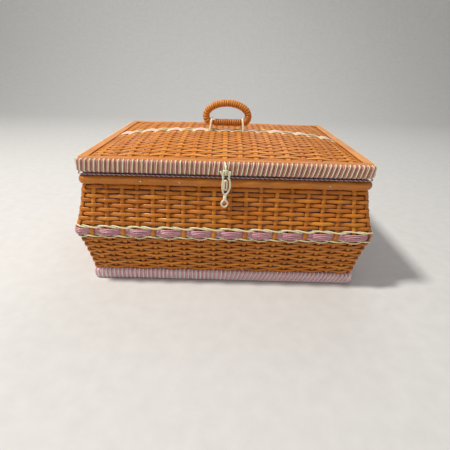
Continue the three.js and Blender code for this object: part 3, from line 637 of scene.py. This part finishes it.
# Lacing wound round a roll, with the lean of its turns as [distance round the loop, lean]
WRAP_TURNS = 666
LID_LEAN = [
    (0.0, 0.13), (28.0, 0.13), (138.0, 0.08), (228.0, 0.17), (293.0, 0.21), (336.0, 0.2),
    (600.0, 0.15), (940.0, 0.1), (1184.0, 0.13),
]
BASE_LEAN = [
    (0.0, 0.02), (160.0, 0.03), (200.0, 0.42), (340.0, 0.56), (370.0, 0.3), (610.0, 0.22),
    (930.0, 0.12), (1184.0, 0.02),
]


def wrap_path(foot, top, rounding, shoulder):
    """Half of a roll's section as [inset, z], with a shoulder that stands up outside the inlaid band."""
    arc = [(rounding * math.cos(a), rounding * math.sin(a)) for a in np.radians([90, 60, 30, 4])]
    high = top + shoulder
    path = [(11.2, top), (rounding + 2.0, top + 0.3 * shoulder)]
    path += [(rounding - across, high - rounding + over) for across, over in arc]
    path += [(rounding - across, foot + rounding - over) for across, over in arc[::-1]]
    return np.array(path + [(7.2, foot), (11.2, foot)])


def add_wrap(name, body, node, foot, top, rounding, shoulder, slants, creams, pinks):
    """Turns of lacing round a roll, every third one cream. Both kinds come as a material and a slot name;
    the slot name is not used.
    """
    path = wrap_path(foot, top, rounding, shoulder)
    inset, z = path.T
    length = np.concatenate([[0], np.cumsum(np.hypot(*np.diff(path, axis=0).T))])
    face_top, face_foot = length[3], length[8]
    face_span = face_foot - face_top
    down = np.clip(length - face_top, 0.0, face_span)
    shift = down * (0.55 + 0.6 * down / face_span)
    tangent = unit(np.gradient(path, length, axis=0))
    pitch = RIM_LOOP / WRAP_TURNS
    shape = np.array([[-0.5, 0.0], [-0.42, 0.5], [-0.17, 0.87], [0.17, 0.87], [0.42, 0.5], [0.5, 0.0]])
    groups = (Strands(), Strands())
    for k in range(WRAP_TURNS):
        start = k * pitch
        slant = float(np.interp(start, *np.transpose(slants))) + 0.012 * rng.normal()
        u = start + 0.06 * rng.normal() - slant * (shift - shift.mean())
        place, normal = outline(u, inset, z)
        out = unit(-normal * tangent[:, 1:] - Z_AXIS * tangent[:, :1])
        sink = 0.98 if k % 3 else 0.66
        line = place - out * (sink + 0.04 * abs(rng.normal()))
        wide = unit(np.cross(out, heading(line)))
        room = outline(u + pitch / 2, inset)[0] - outline(u - pitch / 2, inset)[0]
        width = np.abs(np.sum(room * wide, axis=1)) * 0.94
        # Painted shadow: the pink turn just after each cream one takes the dark end of its colours, as if
        # shaded by the prouder cream turn; the next pink takes the light end, and cream turns vary at
        # random.
        tint = 0.85 * (k % 3 - 1) + 0.15 * rng.random() if k % 3 else rng.random()
        groups[min(k % 3, 1)].add(line, wide, out, widened(shape, np.maximum(width, 0.3)), False, tint)
    groups[1].build(f"{name}_pink", pinks[0], body, pinks[1], node)
    groups[0].build(f"{name}_cream", creams[0], body, creams[1])


# Lid panel: weavers run left and right over stakes that run front to back
LID_STAKES = range(-8, 9)
LID_MIDDLE = -1.5
OPEN_W = 154.6
LID_ROWS = 6.6 + 5.22 * (np.arange(21) + 0.5)
LID_PUSH = 0.85


def crown(x, y):
    across = 1 - np.minimum(np.abs(x) / PANEL_W, 1) ** 3.4
    back = 1 - np.minimum(np.abs(y) / PANEL_D, 1) ** 3.6
    return BAND_TOP + CROWN * across * back


def crown_strand(x, y, push, depth=2.0):
    """Places on the crowned panel, pushed out from a depth under its top, with the way out."""
    step = 0.5
    tilt_x = (crown(x + step, y) - crown(x - step, y)) / (2 * step)
    tilt_y = (crown(x, y + step) - crown(x, y - step)) / (2 * step)
    out = unit(np.stack([-np.clip(tilt_x, -0.6, 0.6), -np.clip(tilt_y, -0.6, 0.6), np.ones_like(x)], -1))
    return np.stack([x, y, crown(x, y)], -1) + out * (push - depth)[:, None], out


def lid_index(x):
    """Number of the stake at a place across the lid."""
    return (x - LID_MIDDLE) / STAKE_STEP


def tuck(along, half, line):
    """Lowers the ends of a strand so that they run under the flat bands."""
    over = np.maximum(np.abs(along) - (half - 1.2), 0)
    line[:, 2] -= np.minimum(over * 0.55, 1.5)
    return line


def calm_ends(along, half):
    """Flattens a strand's waves close to the bands that hold it."""
    return np.clip((half + 1.5 - np.abs(along)) / 7.0, 0.1, 1.0)


def add_lid_weave():
    weavers = Strands()
    step = STAKE_STEP / 6
    inner = np.arange(LID_MIDDLE - 51 * step, OPEN_W, step)
    ends = np.array([157.0, 158.3])
    x = np.concatenate([-ends[::-1], inner, ends])
    for half in (-1, 1):
        for k, row in enumerate(LID_ROWS):
            side = -side_of(k)
            y = half * row + drift(x, WIDTH, 0.2, 8, 2)
            push = LID_PUSH * side * weave_wave(lid_index(x)) * calm_ends(x, PANEL_W)
            push = push * (1 + drift(x, WIDTH, 0.08, 8, 3))
            if k == len(LID_ROWS) - 1:
                push = push * 0.6 - 0.25
            line, out = crown_strand(x, y, push)
            line = tuck(x, PANEL_W, line)
            wide = square_to(Y_AXIS + out * drift(x, WIDTH, 0.07, 8, 4)[:, None], out)
            section = widened(oval(5.15, 1.65), 1 + 0.1 * side * np.cos(np.pi * lid_index(x)))
            weavers.add(line, wide, out, section * (1 + 0.02 * rng.normal()))
    weavers.build("lid_weavers", weave_cane, "lid", "weave", "lid_panel")
    stakes = Strands()
    sides = -side_of(np.arange(len(LID_ROWS)))
    y = with_middles(np.concatenate([-LID_ROWS[::-1], [0.0], LID_ROWS]))
    lift = with_middles(np.concatenate([sides[::-1], [1], sides]))
    ends = np.array([116.4, 118.3])
    y = np.concatenate([-ends[::-1], y, ends])
    lift = np.concatenate([[0, 0], lift, [0, 0]])
    for k in LID_STAKES:
        x = LID_MIDDLE + STAKE_STEP * k + drift(y, DEPTH, 0.35, 4, 1)
        line, out = crown_strand(x, y, -0.95 * lift * side_of(k) * calm_ends(y, PANEL_D))
        line = tuck(y, PANEL_D, line)
        stakes.add(line, square_to(X_AXIS, out), out, oval(7.0 + 0.2 * rng.normal(), 1.6))
    stakes.build("lid_stakes", stake_cane, "lid", "weave")


def add_lid_stripe():
    x = np.concatenate([[-158.0], LID_MIDDLE + STAKE_STEP / 4 * np.arange(-34, 36)])
    phase = np.pi * lid_index(x)
    wave = np.cos(phase)

    def add(strands, y, push, section):
        line, out = crown_strand(x, y, push, 1.7)
        strands.add(tuck(x, OPEN_W, line), square_to(Y_AXIS, out), out, section)

    bundle = Strands()
    for k in BUNDLE:
        y = k * 1.68 * (1 + 0.03 * wave) + drift(x, WIDTH, 0.12, 8, 3)
        add(bundle, y, 1.95 * wave + 0.3 * (2 - abs(k)) * np.maximum(wave, 0), oval(1.75, 1.5, 6, 0.9))
    bundle.build("lid_stripe_lacing", pale_pink, "lid", "pink_lacing", "lid_stripe")
    for name, tilt in (("front", -1), ("rear", 1)):
        pair = Strands()
        for side in (1, -1):
            y = tilt * (5.9 + 0.6 * wave) + side * 0.8 * np.sin(phase)
            add(pair, y, side * 1.8 * wave, oval(1.9, 1.8, 8, 1.0))
        pair.build(f"lid_twine_pair_{name}", cream, "lid", "cream_lacing", f"lid_twine_{name}")


# Base panel: the lid's weave once more, flat
def add_base_weave():
    middle, pitch = 9.7, 5.36
    weavers = Strands()
    x = np.arange(-157.5, 157.51, STAKE_STEP / 3)
    for k in range(44):
        z = middle + 1.45 * side_of(k) * np.cos(np.pi * lid_index(x))
        y = -115.2 + pitch * k + drift(x, WIDTH, 0.25, 6, 2)
        weavers.add(np.stack([x, y, z], -1), Y_AXIS, Z_AXIS, oval(4.9, 1.8, 6))
    weavers.build("base_weavers", weave_cane, "body", "weave", "base_panel")
    stakes = Strands()
    y = np.arange(-117.6, 117.61, pitch)
    for k in LID_STAKES:
        line = np.stack(np.broadcast_arrays(LID_MIDDLE + STAKE_STEP * k, y, middle), -1)
        stakes.add(line, X_AXIS, Z_AXIS, oval(5.6, 1.4, 6, 0.7))
    stakes.build("base_stakes", stake_cane, "body", "weave")


# Smooth bent cane round the rim, a little wavy as steamed cane is
def add_rim():
    turn = np.linspace(-math.pi / 2, math.pi / 2, 9)
    power = 2 / 2.05
    inset = RIM_HALF - RIM_HALF * raised(np.cos(turn), power)
    z = RIM_TOP - RIM_HALF + RIM_HALF * raised(np.sin(turn), power)
    marks = [middle + side_marks(half, reach, 84, 12) for half, reach, middle in rim_sides()]
    u = np.concatenate(marks)[:, None]
    wander = 0.3 + drift(u, RIM_LOOP, 0.27, 12, 34), drift(u, RIM_LOOP, 0.22, 12, 24)
    points, _ = outline(u, inset + wander[0], z + wander[1])
    faces = ring_quads(len(u), len(turn))[:, ::-1].tolist()
    grain = np.stack(np.broadcast_arrays(u, inset, z), -1)
    make_mesh("rim_hoop", points, faces, shaded_hoop_cane, "body", ["body_rim_outer"], grain)


# Flat bands on the lid's rim, mitred at the corners, with softly worn edges
def add_bands():
    section = np.array([
        [3.1, -0.45], [3.35, -0.12], [4.8, 0.0], [8.0, 0.06], [11.2, 0.0], [12.6, -0.12], [12.95, -0.5],
        [12.95, -1.2], [3.1, -1.2],
    ])
    inset, rise = section.T
    sides, loop, grain_shift = len(section), 1200.0, 613.0
    for leg, (half, reach, middle) in enumerate(rim_sides()):
        name = ("front", "right", "back", "left")[leg]
        u = middle + np.append(side_marks(half, reach, 39, 8), reach)[:, None]
        sway, swell = drift(u, loop, 0.12, 8, 3), drift(u, loop, 0.05, 8, 3)
        rings, _ = outline(u, inset + sway * (inset > 6), BAND_TOP - 0.35 + rise + swell)
        long = leg % 2
        most = np.abs(rings[..., 1 - long]) + (HALF_W - HALF_D) * side_of(leg) - 0.12
        rings[..., long] = np.clip(rings[..., long], -most, most)
        total = len(u) * sides
        faces = ring_quads(len(u), sides, False)[:, [0, 3, 2, 1]].tolist()
        faces += [list(range(sides)), list(range(total - 1, total - sides - 1, -1))]
        grain = np.stack(np.broadcast_arrays(u + grain_shift * leg, inset, rise), -1)
        tints = np.full(total, rng.random())
        nodes = [f"lid_band_{name}"]
        piece = make_mesh(f"band_{name}", rings, faces, band_cane, "lid", nodes, grain, tints)
        piece.data.set_sharp_from_angle(angle=math.radians(38))


# Rounded strands on a given path
def smooth_path(points, per, closed=False):
    """A smooth curve through the points, with so many places for each of them."""
    points = np.asarray(points, float)
    if closed:
        held = np.concatenate([points[-1:], points, points[:2]])
    else:
        held = np.concatenate([2 * points[:1] - points[1:2], points, 2 * points[-1:] - points[-2:-1]])
    a, b, c, d = (held[k:len(held) - 3 + k, None] for k in range(4))
    t = np.arange(per)[:, None] / per
    bent = (2 * a - 5 * b + 4 * c - d) * t * t + (3 * b - a - 3 * c + d) * t ** 3
    line = (0.5 * (2 * b + (c - a) * t + bent)).reshape(-1, 3)
    return line if closed else np.concatenate([line, points[-1:]])


def add_planar(strands, points, plane, section, per=3, closed=False):
    """A strand whose path lies in, or close to, a plane with the given normal."""
    strands.sweep(smooth_path(points, per, closed), plane, section, closed)


# Handle: a cane D wound with one strip
class HandlePath:
    def __init__(self):
        w, h, run, rise, k = 29.6, 26.0, 7.6, 9.0, 0.5523
        bar = w - run
        right = [
            [(0, 0), (bar / 3, 0), (bar / 1.5, 0), (bar, 0)],
            [(bar, 0), (bar + run * k, 0), (w, rise * (1 - k)), (w, rise)],
            [(w, rise), (w, rise + (h - rise) * k), (w * k, h), (0, h)],
        ]
        left = [[(-x, z) for x, z in reversed(curve)] for curve in reversed(right)]
        steps = 80
        t = np.linspace(0, 1, steps + 1)[:, None]
        dots = [np.zeros((1, 2))]
        for curve in right + left:
            a, b, c, d = np.array(curve, float)
            part = (1 - t) ** 3 * a + 3 * (1 - t) ** 2 * t * b + 3 * (1 - t) * t * t * c + t ** 3 * d
            dots.append(part[1:])
        x, z = np.concatenate(dots).T
        self.dots = np.stack([x, np.zeros(len(x)), z + HANDLE_Z])
        self.marks = np.append(0.0, np.cumsum(np.linalg.norm(np.diff(self.dots), axis=0)))
        self.length = self.marks[-1]
        self.bar_end = bar
        self.corner_end = self.marks[2 * steps]

    def spot(self, s):
        s = np.mod(s, self.length)
        return np.stack([np.interp(s, self.marks, dots) for dots in self.dots], -1)

    def tangent(self, s):
        return unit(self.spot(s + 0.3) - self.spot(s - 0.3))

    def bend(self, s, step=0.6):
        """How fast the path turns, in radians for each millimetre."""
        turn = np.sum(self.tangent(s - step) * self.tangent(s + step), axis=-1)
        return np.arccos(np.clip(turn, -1, 1)) / (2 * step)


def wind(path, start, end, turns, width, lead=0.0):
    """A strip wound round a stretch of the handle, with its turns evened out inside the bends."""
    radius, steps = 3.8, 14
    fine = np.linspace(start, end, 600)
    share = np.cumsum(1 - 0.55 * path.bend(fine) * radius)
    share = (share - share[0]) / (share[-1] - share[0])
    turn = np.linspace(0, turns, turns * steps + 1)
    s = np.interp(turn / turns, share, fine)
    whole = np.arange(turns + 2)
    s = s + 0.10 * np.interp(turn, whole, rng.normal(size=len(whole)))
    angle = 2 * np.pi * turn + lead
    tangent = path.tangent(s)
    out = np.cross(tangent, Y_AXIS) * np.cos(angle)[:, None] + Y_AXIS * np.sin(angle)[:, None]
    high = radius + 0.12 * np.interp(turn, whole, rng.normal(size=len(whole)))
    pitch = np.gradient(s, turn)
    room = pitch * (1 - path.bend(s) * radius * np.cos(angle))
    size = np.clip(room / np.mean(pitch), 0.55, 1.5) * width
    strands = Strands()
    strands.sweep(path.spot(s) + out * high[:, None], tangent, widened(oval(1.0, 2.4, 8, 1.0), size))
    return strands


def add_handle():
    path = HandlePath()
    length, bar, corner = path.length, path.bar_end, path.corner_end
    s = np.linspace(0.0, length, 181)[:-1]
    radius = np.full(len(s), 3.15)
    # The bare cane is thicker where bar and arch are lashed together
    swells = (bar - 2.0, corner + 1.5, 1.75), (length - corner + 2.0, length - bar + 2.0, 0.6)
    for low, high, size in swells:
        inside = np.clip(np.minimum(s - low, high - s) / 2.2 + 0.5, 0, 1)
        radius += size * inside * inside * (3 - 2 * inside)
    core = Strands()
    section = round_section(1.0, 14)[None] * radius[:, None, None]
    core.add(path.spot(s), np.cross(path.tangent(s), Y_AXIS), Y_AXIS, section, True)
    core.build("handle_cane", band_cane, "handle", "cane", "handle_core")
    arch = wind(path, corner + 1.0, length - bar - 1.5, 27, 3.3)
    arch.build("handle_arch_strip", strip_cane, "handle", "strip", "handle_arch_winding")
    strip = wind(path, 3.4 - bar, bar - 3.2, 12, 2.85, 1.0)
    strip.build("handle_bar_strip", strip_cane, "handle", "strip", "handle_bar_winding")


def add_handle_loops():
    for name, x, top, foot in (("left", -22.3, 0.9, -1.5), ("right", 22.3, -0.5, 0.7)):
        ground = float(crown(x, 9.0)) - 2.6
        front = [
            (foot - 0.2, -8.8, ground), (foot, -8.9, ground + 3),
            (0.6 * foot, -8.0, HANDLE_Z - 5.0), (0.25 * foot, -6.6, HANDLE_Z - 1.0),
        ]
        over = [(0.6 * top, -5.2, HANDLE_Z + 3.4), (top, -2.3, HANDLE_Z + 5.9), (top, 0.0, HANDLE_Z + 6.5)]
        path = front + over + [(lean, -y, z) for lean, y, z in over[1::-1]]
        path += [(0.0, -y, z) for _, y, z in front[::-1]]
        loop = Strands()
        add_planar(loop, [(x + lean, y, z) for lean, y, z in path], X_AXIS, oval(2.8, 1.5, 8, 0.75), 4)
        loop.build(f"loop_{name}", cord_cream, "lid", "cream_lacing", f"handle_loop_{name}")


def stadium_path(middle, radius, drop, across):
    """Round ring stretched straight down by the drop."""
    half = [(radius * math.cos(a), radius * math.sin(a)) for a in np.linspace(0, math.pi, 7)]
    half += [(-radius, -drop * k / 3) for k in (1, 2)]
    half += [(-a, -drop - b) for a, b in half]
    return [middle + across * a + Z_AXIS * b for a, b in half]


# Closure: an anchor eye on the lid, a flat keeper on the rim, and the hanging loop
def add_closure():
    anchor = Strands()
    eye = stadium_path((0.0, HASP_Y, HASP_Z + 3.0), 2.4, 3.0, Y_AXIS)
    add_planar(anchor, eye, X_AXIS, round_section(0.9), 3, True)
    foot, top = LID_FOOT, WRAP_TOP
    over = [
        (-0.9, -121.0, top + 0.1), (-0.9, -125.0, top + 0.1), (-0.8, -128.6, top - 0.6),
        (-0.6, -130.2, top - 2.6), (-0.3, -130.55, top - 5.5), (0.0, -130.6, foot + 5.5),
        (0.0, -130.3, foot + 2.4), (0.0, -128.8, foot + 0.3),
    ]
    add_planar(anchor, over, X_AXIS, oval(2.3, 1.2))
    anchor.build("hasp_eye", cord_cream, "lid", "cream_lacing", "hasp_anchor")

    keeper = Strands()
    hold = stadium_path((0.0, -131.2, RIM_TOP - 2.5), 1.45, 8.0, X_AXIS)
    add_planar(keeper, hold, Y_AXIS, round_section(1.1), 3, True)
    keeper.build("keeper", cord_cream, "body", "cream_lacing", "hasp_keeper")

    hasp = Strands()
    drop, half = 28.07, 4.4

    def spot(x, down, back=0.0):
        bulge = 0.9 * math.sin(math.pi * min(1.0, down / drop)) - 1.1 * max(0.0, down / drop - 0.75)
        return (x + bulge, HASP_Y + back, HASP_Z - down)

    sides = [(0.6, 0.06), (0.7, 0.25), (1.0, 0.55), (0.82, 0.8), (0.36, 0.95)]
    right = [(2.4, 0.0)] + [(share * half, part * drop) for share, part in sides]
    loop = [(0.0, 0.0)] + right + [(-x, down) for x, down in reversed(right)]
    add_planar(hasp, [spot(*place) for place in loop], Y_AXIS, round_section(1.1), 4, True)
    for x in (-0.75, 0.75):
        neck = [(x, drop - 1.6), (x, drop + 2.0), (x, drop + 5.0), (x * 1.4, drop + 7.8)]
        add_planar(hasp, [spot(*place) for place in neck], Y_AXIS, round_section(1.0))
    coil = [
        spot(1.55 * math.cos(a), drop + 1.2 + 4.6 * k / 45, 1.45 * math.sin(a))
        for k, a in enumerate(np.linspace(0, 3.3 * 2 * np.pi, 46))
    ]
    hasp.sweep(np.array(coil), Z_AXIS, oval(1.5, 0.9))
    # The finger ring is drawn in at its top
    ring = [
        spot(3.6 * math.cos(a) * (1 - 0.35 * max(0.0, math.sin(a))), drop + 10.2 - 4.4 * math.sin(a))
        for a in np.arange(12) * math.pi / 6
    ]
    add_planar(hasp, ring, Y_AXIS, round_section(1.1), 3, True)
    # Cut ends that lean out from the sides and stay clear of the eye when the hasp swings up
    ends = (
        [(-3.2, -8.4), (-3.0, -6.0), (-4.0, -3.4), (-5.4, -1.2), (-6.2, -0.2)],
        [(3.3, -9.6), (3.6, -7.0), (4.3, -4.2), (4.7, -1.8), (4.9, -0.2)],
    )
    for end in ends:
        stub = [(x, HASP_Y - 1.1, HASP_Z + up) for x, up in end]
        add_planar(hasp, stub, Y_AXIS, round_section(1.15))
    hasp.build("hasp_strand", cord_cream, "hasp", "cream_lacing", "hasp_loop")


# Hinges: lacing eyes on the rim, and links on the lid that pass through them
def add_hinges():
    lean = unit(np.array([0.0, -2.6, 5.0]))
    reach = math.hypot(2.6, 5.0)
    half = [(-5.5, reach), (-5.5, 2.6)]
    half += [(-3.3 + 2.2 * math.cos(a), 2.2 + 2.2 * math.sin(a)) for a in np.radians((202, 225, 250))]
    half += [(-1.6, 0.0)]
    bow = np.array([X_AXIS * a + lean * b for a, b in half + [(-a, b) for a, b in half[::-1]]])
    bow = np.concatenate([bow[:1] + (0, -2.4, 2.6), bow, bow[-1:] + (0, -2.4, 2.6)])
    tail = np.array([(0.0, -1.6, -10.6), (0.0, -2.7, -13.6), (0.4, -5.2, -15.8), (0.6, -8.4, -16.6)])
    for name, x in (("left", -108.0), ("right", 108.0)):
        middle = np.array([x, HINGE_Y, HINGE_Z])
        eye = Strands()
        add_planar(eye, stadium_path(middle, 2.6, 9.0, Y_AXIS), X_AXIS, round_section(1.1), 3, True)
        add_planar(eye, middle + tail, X_AXIS, round_section(1.0))
        eye.build(f"eye_{name}", cord_cream, "body", "cream_lacing", f"hinge_eye_{name}")
        link = Strands()
        add_planar(link, middle + bow, np.cross(X_AXIS, lean), round_section(1.1))
        link.build(f"link_{name}", cord_cream, "lid", "cream_lacing", f"hinge_link_{name}")


# Domed nails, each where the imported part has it
def add_nails():
    section = [(0.0, 0.75), (0.42, 0.7), (0.78, 0.5), (1.02, 0.22), (1.1, 0.0), (1.0, -0.5), (0.0, -0.5)]
    radius, rise = np.transpose(section)[:, :, None]
    turn = 2 * np.pi * np.arange(14) / 14
    faces = ring_quads(len(section), len(turn), False)
    for k in range(1, 7):
        x, _, z = np.add(*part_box(f"rim_nail_{k}")) / 2 / MM
        side = -1 if k < 4 else 1
        places = x + radius * np.cos(turn), side * (HALF_D + 0.15 + rise), z + radius * np.sin(turn)
        points = np.stack(np.broadcast_arrays(*places), -1)
        turned = faces if side < 0 else faces[:, ::-1]
        make_mesh(f"nail_head_{k}", points, turned.tolist(), nail, "body", [f"rim_nail_{k}"])


# Satin lining: gathered on the walls and turned over the rim
def add_lining():
    steps, pleats, small_pleats = 620, 96, 221
    u = np.arange(steps)[:, None] * RIM_LOOP / steps
    jitter = drift(u, RIM_LOOP, 2.4, 10, 11)
    deep = 1 + drift(u, RIM_LOOP, 0.45, 9, 20)
    sway = drift(u, RIM_LOOP, 1.0, 5, 3)
    fold = np.cos(2 * np.pi * pleats * u / RIM_LOOP + jitter)
    small_fold = np.cos(2 * np.pi * small_pleats * u / RIM_LOOP + 1.7 * jitter)
    # Inset, height and size of the folds, from the floor up the wall and over the rim
    rows = np.array([
        [7.2, 15.6, 0.4], [7.5, 20.0, 0.9], [8.2, 34.0, 1.3], [9.2, 52.0, 1.5], [10.4, 72.0, 1.5],
        [11.6, 92.0, 1.3], [12.8, 110.0, 1.0], [13.6, 122.0, 0.75], [14.2, 130.0, 0.6], [14.4, 136.0, 0.5],
        [14.1, 139.2, 0.4], [12.8, 140.35, 0.12], [9.5, 140.4, 0.1], [7.5, 140.4, 0.1], [5.6, 140.35, 0.05],
    ])
    mark = np.linspace(0, len(rows) - 1, 44)
    inset, z, swell = (np.interp(mark, np.arange(len(rows)), column) for column in rows.T)
    tight = np.where(z > 126, 0.35, 0.0)
    wave = swell * deep * ((1 - tight) * fold + tight * small_fold)
    wave += 0.35 * swell * np.cos(z / 17.0 + 3 * sway)
    flat = z > 139.9
    place, normal = outline(u, inset + ~flat * np.maximum(wave, -0.9 * swell), z + flat * 0.12 * fold)
    half_thick = np.where(flat[:, None], Z_AXIS, -normal) * 0.2
    rings = np.concatenate([place + half_thick, (place - half_thick)[:, ::-1]], 1)
    faces = ring_quads(steps, rings.shape[1]).tolist()
    piece = make_mesh("gathered_lining", rings, faces, satin, "body", ["body_lining"])


# Padded satin panels: a pinned edge and sewn tufts, blown up as cloth
def add_pad(name, node, body, inset, low, high, up, most):
    half_w, half_d = HALF_W - inset, HALF_D - inset
    nx, ny = 82, 62
    gx, gy = np.meshgrid(np.linspace(-1, 1, nx), np.linspace(-1, 1, ny))
    soft = 1 - 0.012 * np.abs(gx) ** 14 * np.abs(gy) ** 14
    x, y = gx * half_w * soft, gy * half_d * soft
    edge = np.minimum((1 - np.abs(gx)) * half_w, (1 - np.abs(gy)) * half_d)
    back, face = (low, high) if up > 0 else (high, low)
    top = back + (face - back) * (0.35 + 0.65 * np.clip(edge / 7.0, 0, 1) ** 0.5)
    layers = [np.stack(np.broadcast_arrays(x, y, z), -1) for z in (top, back)]
    points = np.concatenate(layers).reshape(-1, 3)
    count = nx * ny
    first = (np.arange(ny - 1)[:, None] * nx + np.arange(nx - 1)).ravel()
    quads = np.stack([first, first + 1, first + nx + 1, first + nx], -1)
    faces = np.stack([quads, quads[:, ::-1] + count], 1).reshape(-1, 4)
    border = np.concatenate([
        np.arange(nx - 1), np.arange(nx - 1, count - 1, nx), np.arange(count - 1, count - nx, -1),
        np.arange(count - nx, 0, -nx),
    ])
    after = np.roll(border, -1)
    faces = np.concatenate([faces, np.stack([after, border, border + count, after + count], -1)])
    faces = faces if up > 0 else faces[:, ::-1]
    piece = make_mesh(name, points, faces.tolist(), satin, body, [node])
    nearest = np.full((ny, nx), np.inf)
    for tx in np.linspace(-1, 1, 7)[1:-1]:
        for ty in np.linspace(-1, 1, 6)[1:-1]:
            nearest = np.minimum(nearest, np.hypot(x - tx * half_w, y - ty * half_d))
    pinned = np.concatenate([((edge < 3.0) | (nearest < 2.6)).ravel(), np.ones(count, bool)])
    shift = puff(piece, pinned) - points
    far = np.linalg.norm(shift, axis=1)
    points = points + shift * np.minimum(1, most / np.maximum(far, 1e-6))[:, None]
    sink = 1.1 * np.exp(-(nearest / 3.2) ** 2).ravel()
    points[:count, 2] -= up * np.minimum(sink, np.abs(points[:count, 2] - back) * 0.75)
    piece.data.vertices.foreach_set("co", (points * MM).ravel())
    piece.data.update()


def puff(piece, pinned):
    """Where the points of a piece are once it is blown up as cloth."""
    group = piece.vertex_groups.new(name="pins")
    group.add([int(k) for k in np.nonzero(pinned)[0]], 1.0, "REPLACE")
    cloth = piece.modifiers.new("cloth", "CLOTH")
    settings = {
        "quality": 6, "mass": 0.15, "vertex_group_mass": "pins", "tension_stiffness": 12,
        "compression_stiffness": 8, "bending_stiffness": 0.15, "shrink_min": -0.07, "use_pressure": True,
        "uniform_pressure_force": 3.5,
    }
    for key, value in settings.items():
        setattr(cloth.settings, key, value)
    cloth.settings.effector_weights.gravity = 0
    cloth.collision_settings.use_collision = False
    for step in range(1, 21):
        scene.frame_set(step)
        shown = piece.evaluated_get(bpy.context.evaluated_depsgraph_get())
    spots = np.empty(len(piece.data.vertices) * 3)
    shown.data.vertices.foreach_get("co", spots)
    piece.modifiers.remove(cloth)
    piece.vertex_groups.remove(group)
    scene.frame_set(1)
    return spots.reshape(-1, 3) / MM


def add_braid(strands, tints, pitch, step, inset, sway, z, rise, lead, twist, section):
    """Strands that sway and rise as they run round the rim, one for each tint."""
    steps = int(RIM_LOOP / step)
    u = np.arange(steps) * RIM_LOOP / steps
    for k, tint in enumerate(tints):
        phase = 2 * np.pi * (round(RIM_LOOP / pitch) * u / RIM_LOOP + k / len(tints))
        line, _ = outline(u, inset + sway * np.sin(phase + lead), z + rise * np.sin(twist * phase))
        strands.sweep(line, np.cross(Z_AXIS, heading(line, True)), section, True, tint)


# Braids: a twisted pair with a flat plait on the rim, and a flat plait under the lid
def add_braids():
    rim = Strands()
    # Painted shade: the twisted pair's second strand (tint 0.1) and the rim plait (tint 0.45) are darkened
    # for the shaded slot under the lid's edge.
    add_braid(rim, (1.0, 0.1), 5.6, 0.68, 1.6, 0.4, 141.35, 0.34, math.pi / 2, 1, round_section(0.44, 6))
    add_braid(rim, (0.45, 0.45, 0.45), 4.4, 1.1, 7.4, 0.75, 142.1, 0.3, 0.0, 2, oval(1.0, 0.7, 6))
    rim.build("rim_braid", braid, "body", "braid", "lining_braid")
    lid = Strands()
    add_braid(lid, (0.7, 0.7, 0.7), 6.0, 1.2, 14.4, 1.15, 142.75, -0.35, 0.0, 2, oval(1.3, 0.7, 6))
    lid.build("lid_edge_braid", braid, "lid", "braid", "lid_braid")


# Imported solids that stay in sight
def dress_solids():
    for name in ("base_core", "lid_core", "body_rim_inner", "floor_card", "lid_card"):
        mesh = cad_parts[name].data
        mesh.materials.clear()
        mesh.materials.append(card if name.endswith("card") else plain_cane)


# Studio: a pale seamless floor, a soft key from the upper left, and two fills
def add_studio():
    run = [(-3.0, 0.0), (0.0, 0.0), (1.2, 0.0)]
    run += [(1.2 + 0.7 * math.sin(a), 0.7 - 0.7 * math.cos(a)) for a in np.linspace(0, math.pi / 2, 14)[1:]]
    run += [(1.9, 6.0)]
    points = [(x, y, z) for y, z in run for x in (-8.0, 8.0)]
    faces = [[2 * k, 2 * k + 1, 2 * k + 3, 2 * k + 2] for k in range(len(run) - 1)]
    mesh = bpy.data.meshes.new("studio")
    mesh.from_pydata(points, [], faces)
    mesh.shade_smooth()
    mesh.materials.append(floor_finish)
    new_object("studio", mesh)
    world = bpy.data.worlds.new("world")
    world.use_nodes = True
    background = world.node_tree.nodes["Background"]
    background.inputs[0].default_value = (1.0, 0.99, 0.97, 1.0)
    background.inputs[1].default_value = 0.32
    scene.world = world
    lamps = [
        ("key", (-0.84, -0.23, 1.63), 0.2, 30.0, (1.0, 0.955, 0.88)),
        ("fill", (1.3, -1.1, 0.7), 1.0, 2.0, (0.98, 0.98, 1.0)),
        ("back", (0.3, 1.1, 1.4), 0.8, 5.0, (1.0, 1.0, 1.0)),
    ]
    for name, place, size, power, color in lamps:
        data = bpy.data.lights.new(name, "AREA")
        data.size = size
        data.energy = power
        data.color = color
        lamp = new_object(name, data)
        lamp.location = place
        aim = Vector((0.0, 0.0, 0.09)) - Vector(place)
        lamp.rotation_euler = aim.to_track_quat("-Z", "Y").to_euler()
    scene.view_settings.view_transform = "Standard"


add_wall_weavers()
add_stakes()
add_belt()
add_wrap(
    "lid_roll", "lid", "lid_wrap", LID_FOOT, WRAP_TOP, 3.2, 0.9, LID_LEAN,
    (cream, "cream_lacing"), (pink, "pink_lacing")
)
add_wrap(
    "base_roll", "body", "base_wrap", 0.22, BASE_TOP, 4.0, 0.0, BASE_LEAN,
    (pale_cream, "cream_lacing"), (pale_pink, "pale_lacing")
)
add_lid_weave()
add_lid_stripe()
add_base_weave()
add_rim()
add_bands()
add_handle()
add_handle_loops()
add_closure()
add_hinges()
add_nails()
add_lining()
add_pad("floor_cushion", "floor_pad", "body", 8.6, 15.5, 18.6, 1, 4.5)
add_pad("lid_cushion", "lid_lining", "lid", 12.3, 143.2, 145.2, -1, 2.0)
add_braids()
dress_solids()
add_studio()
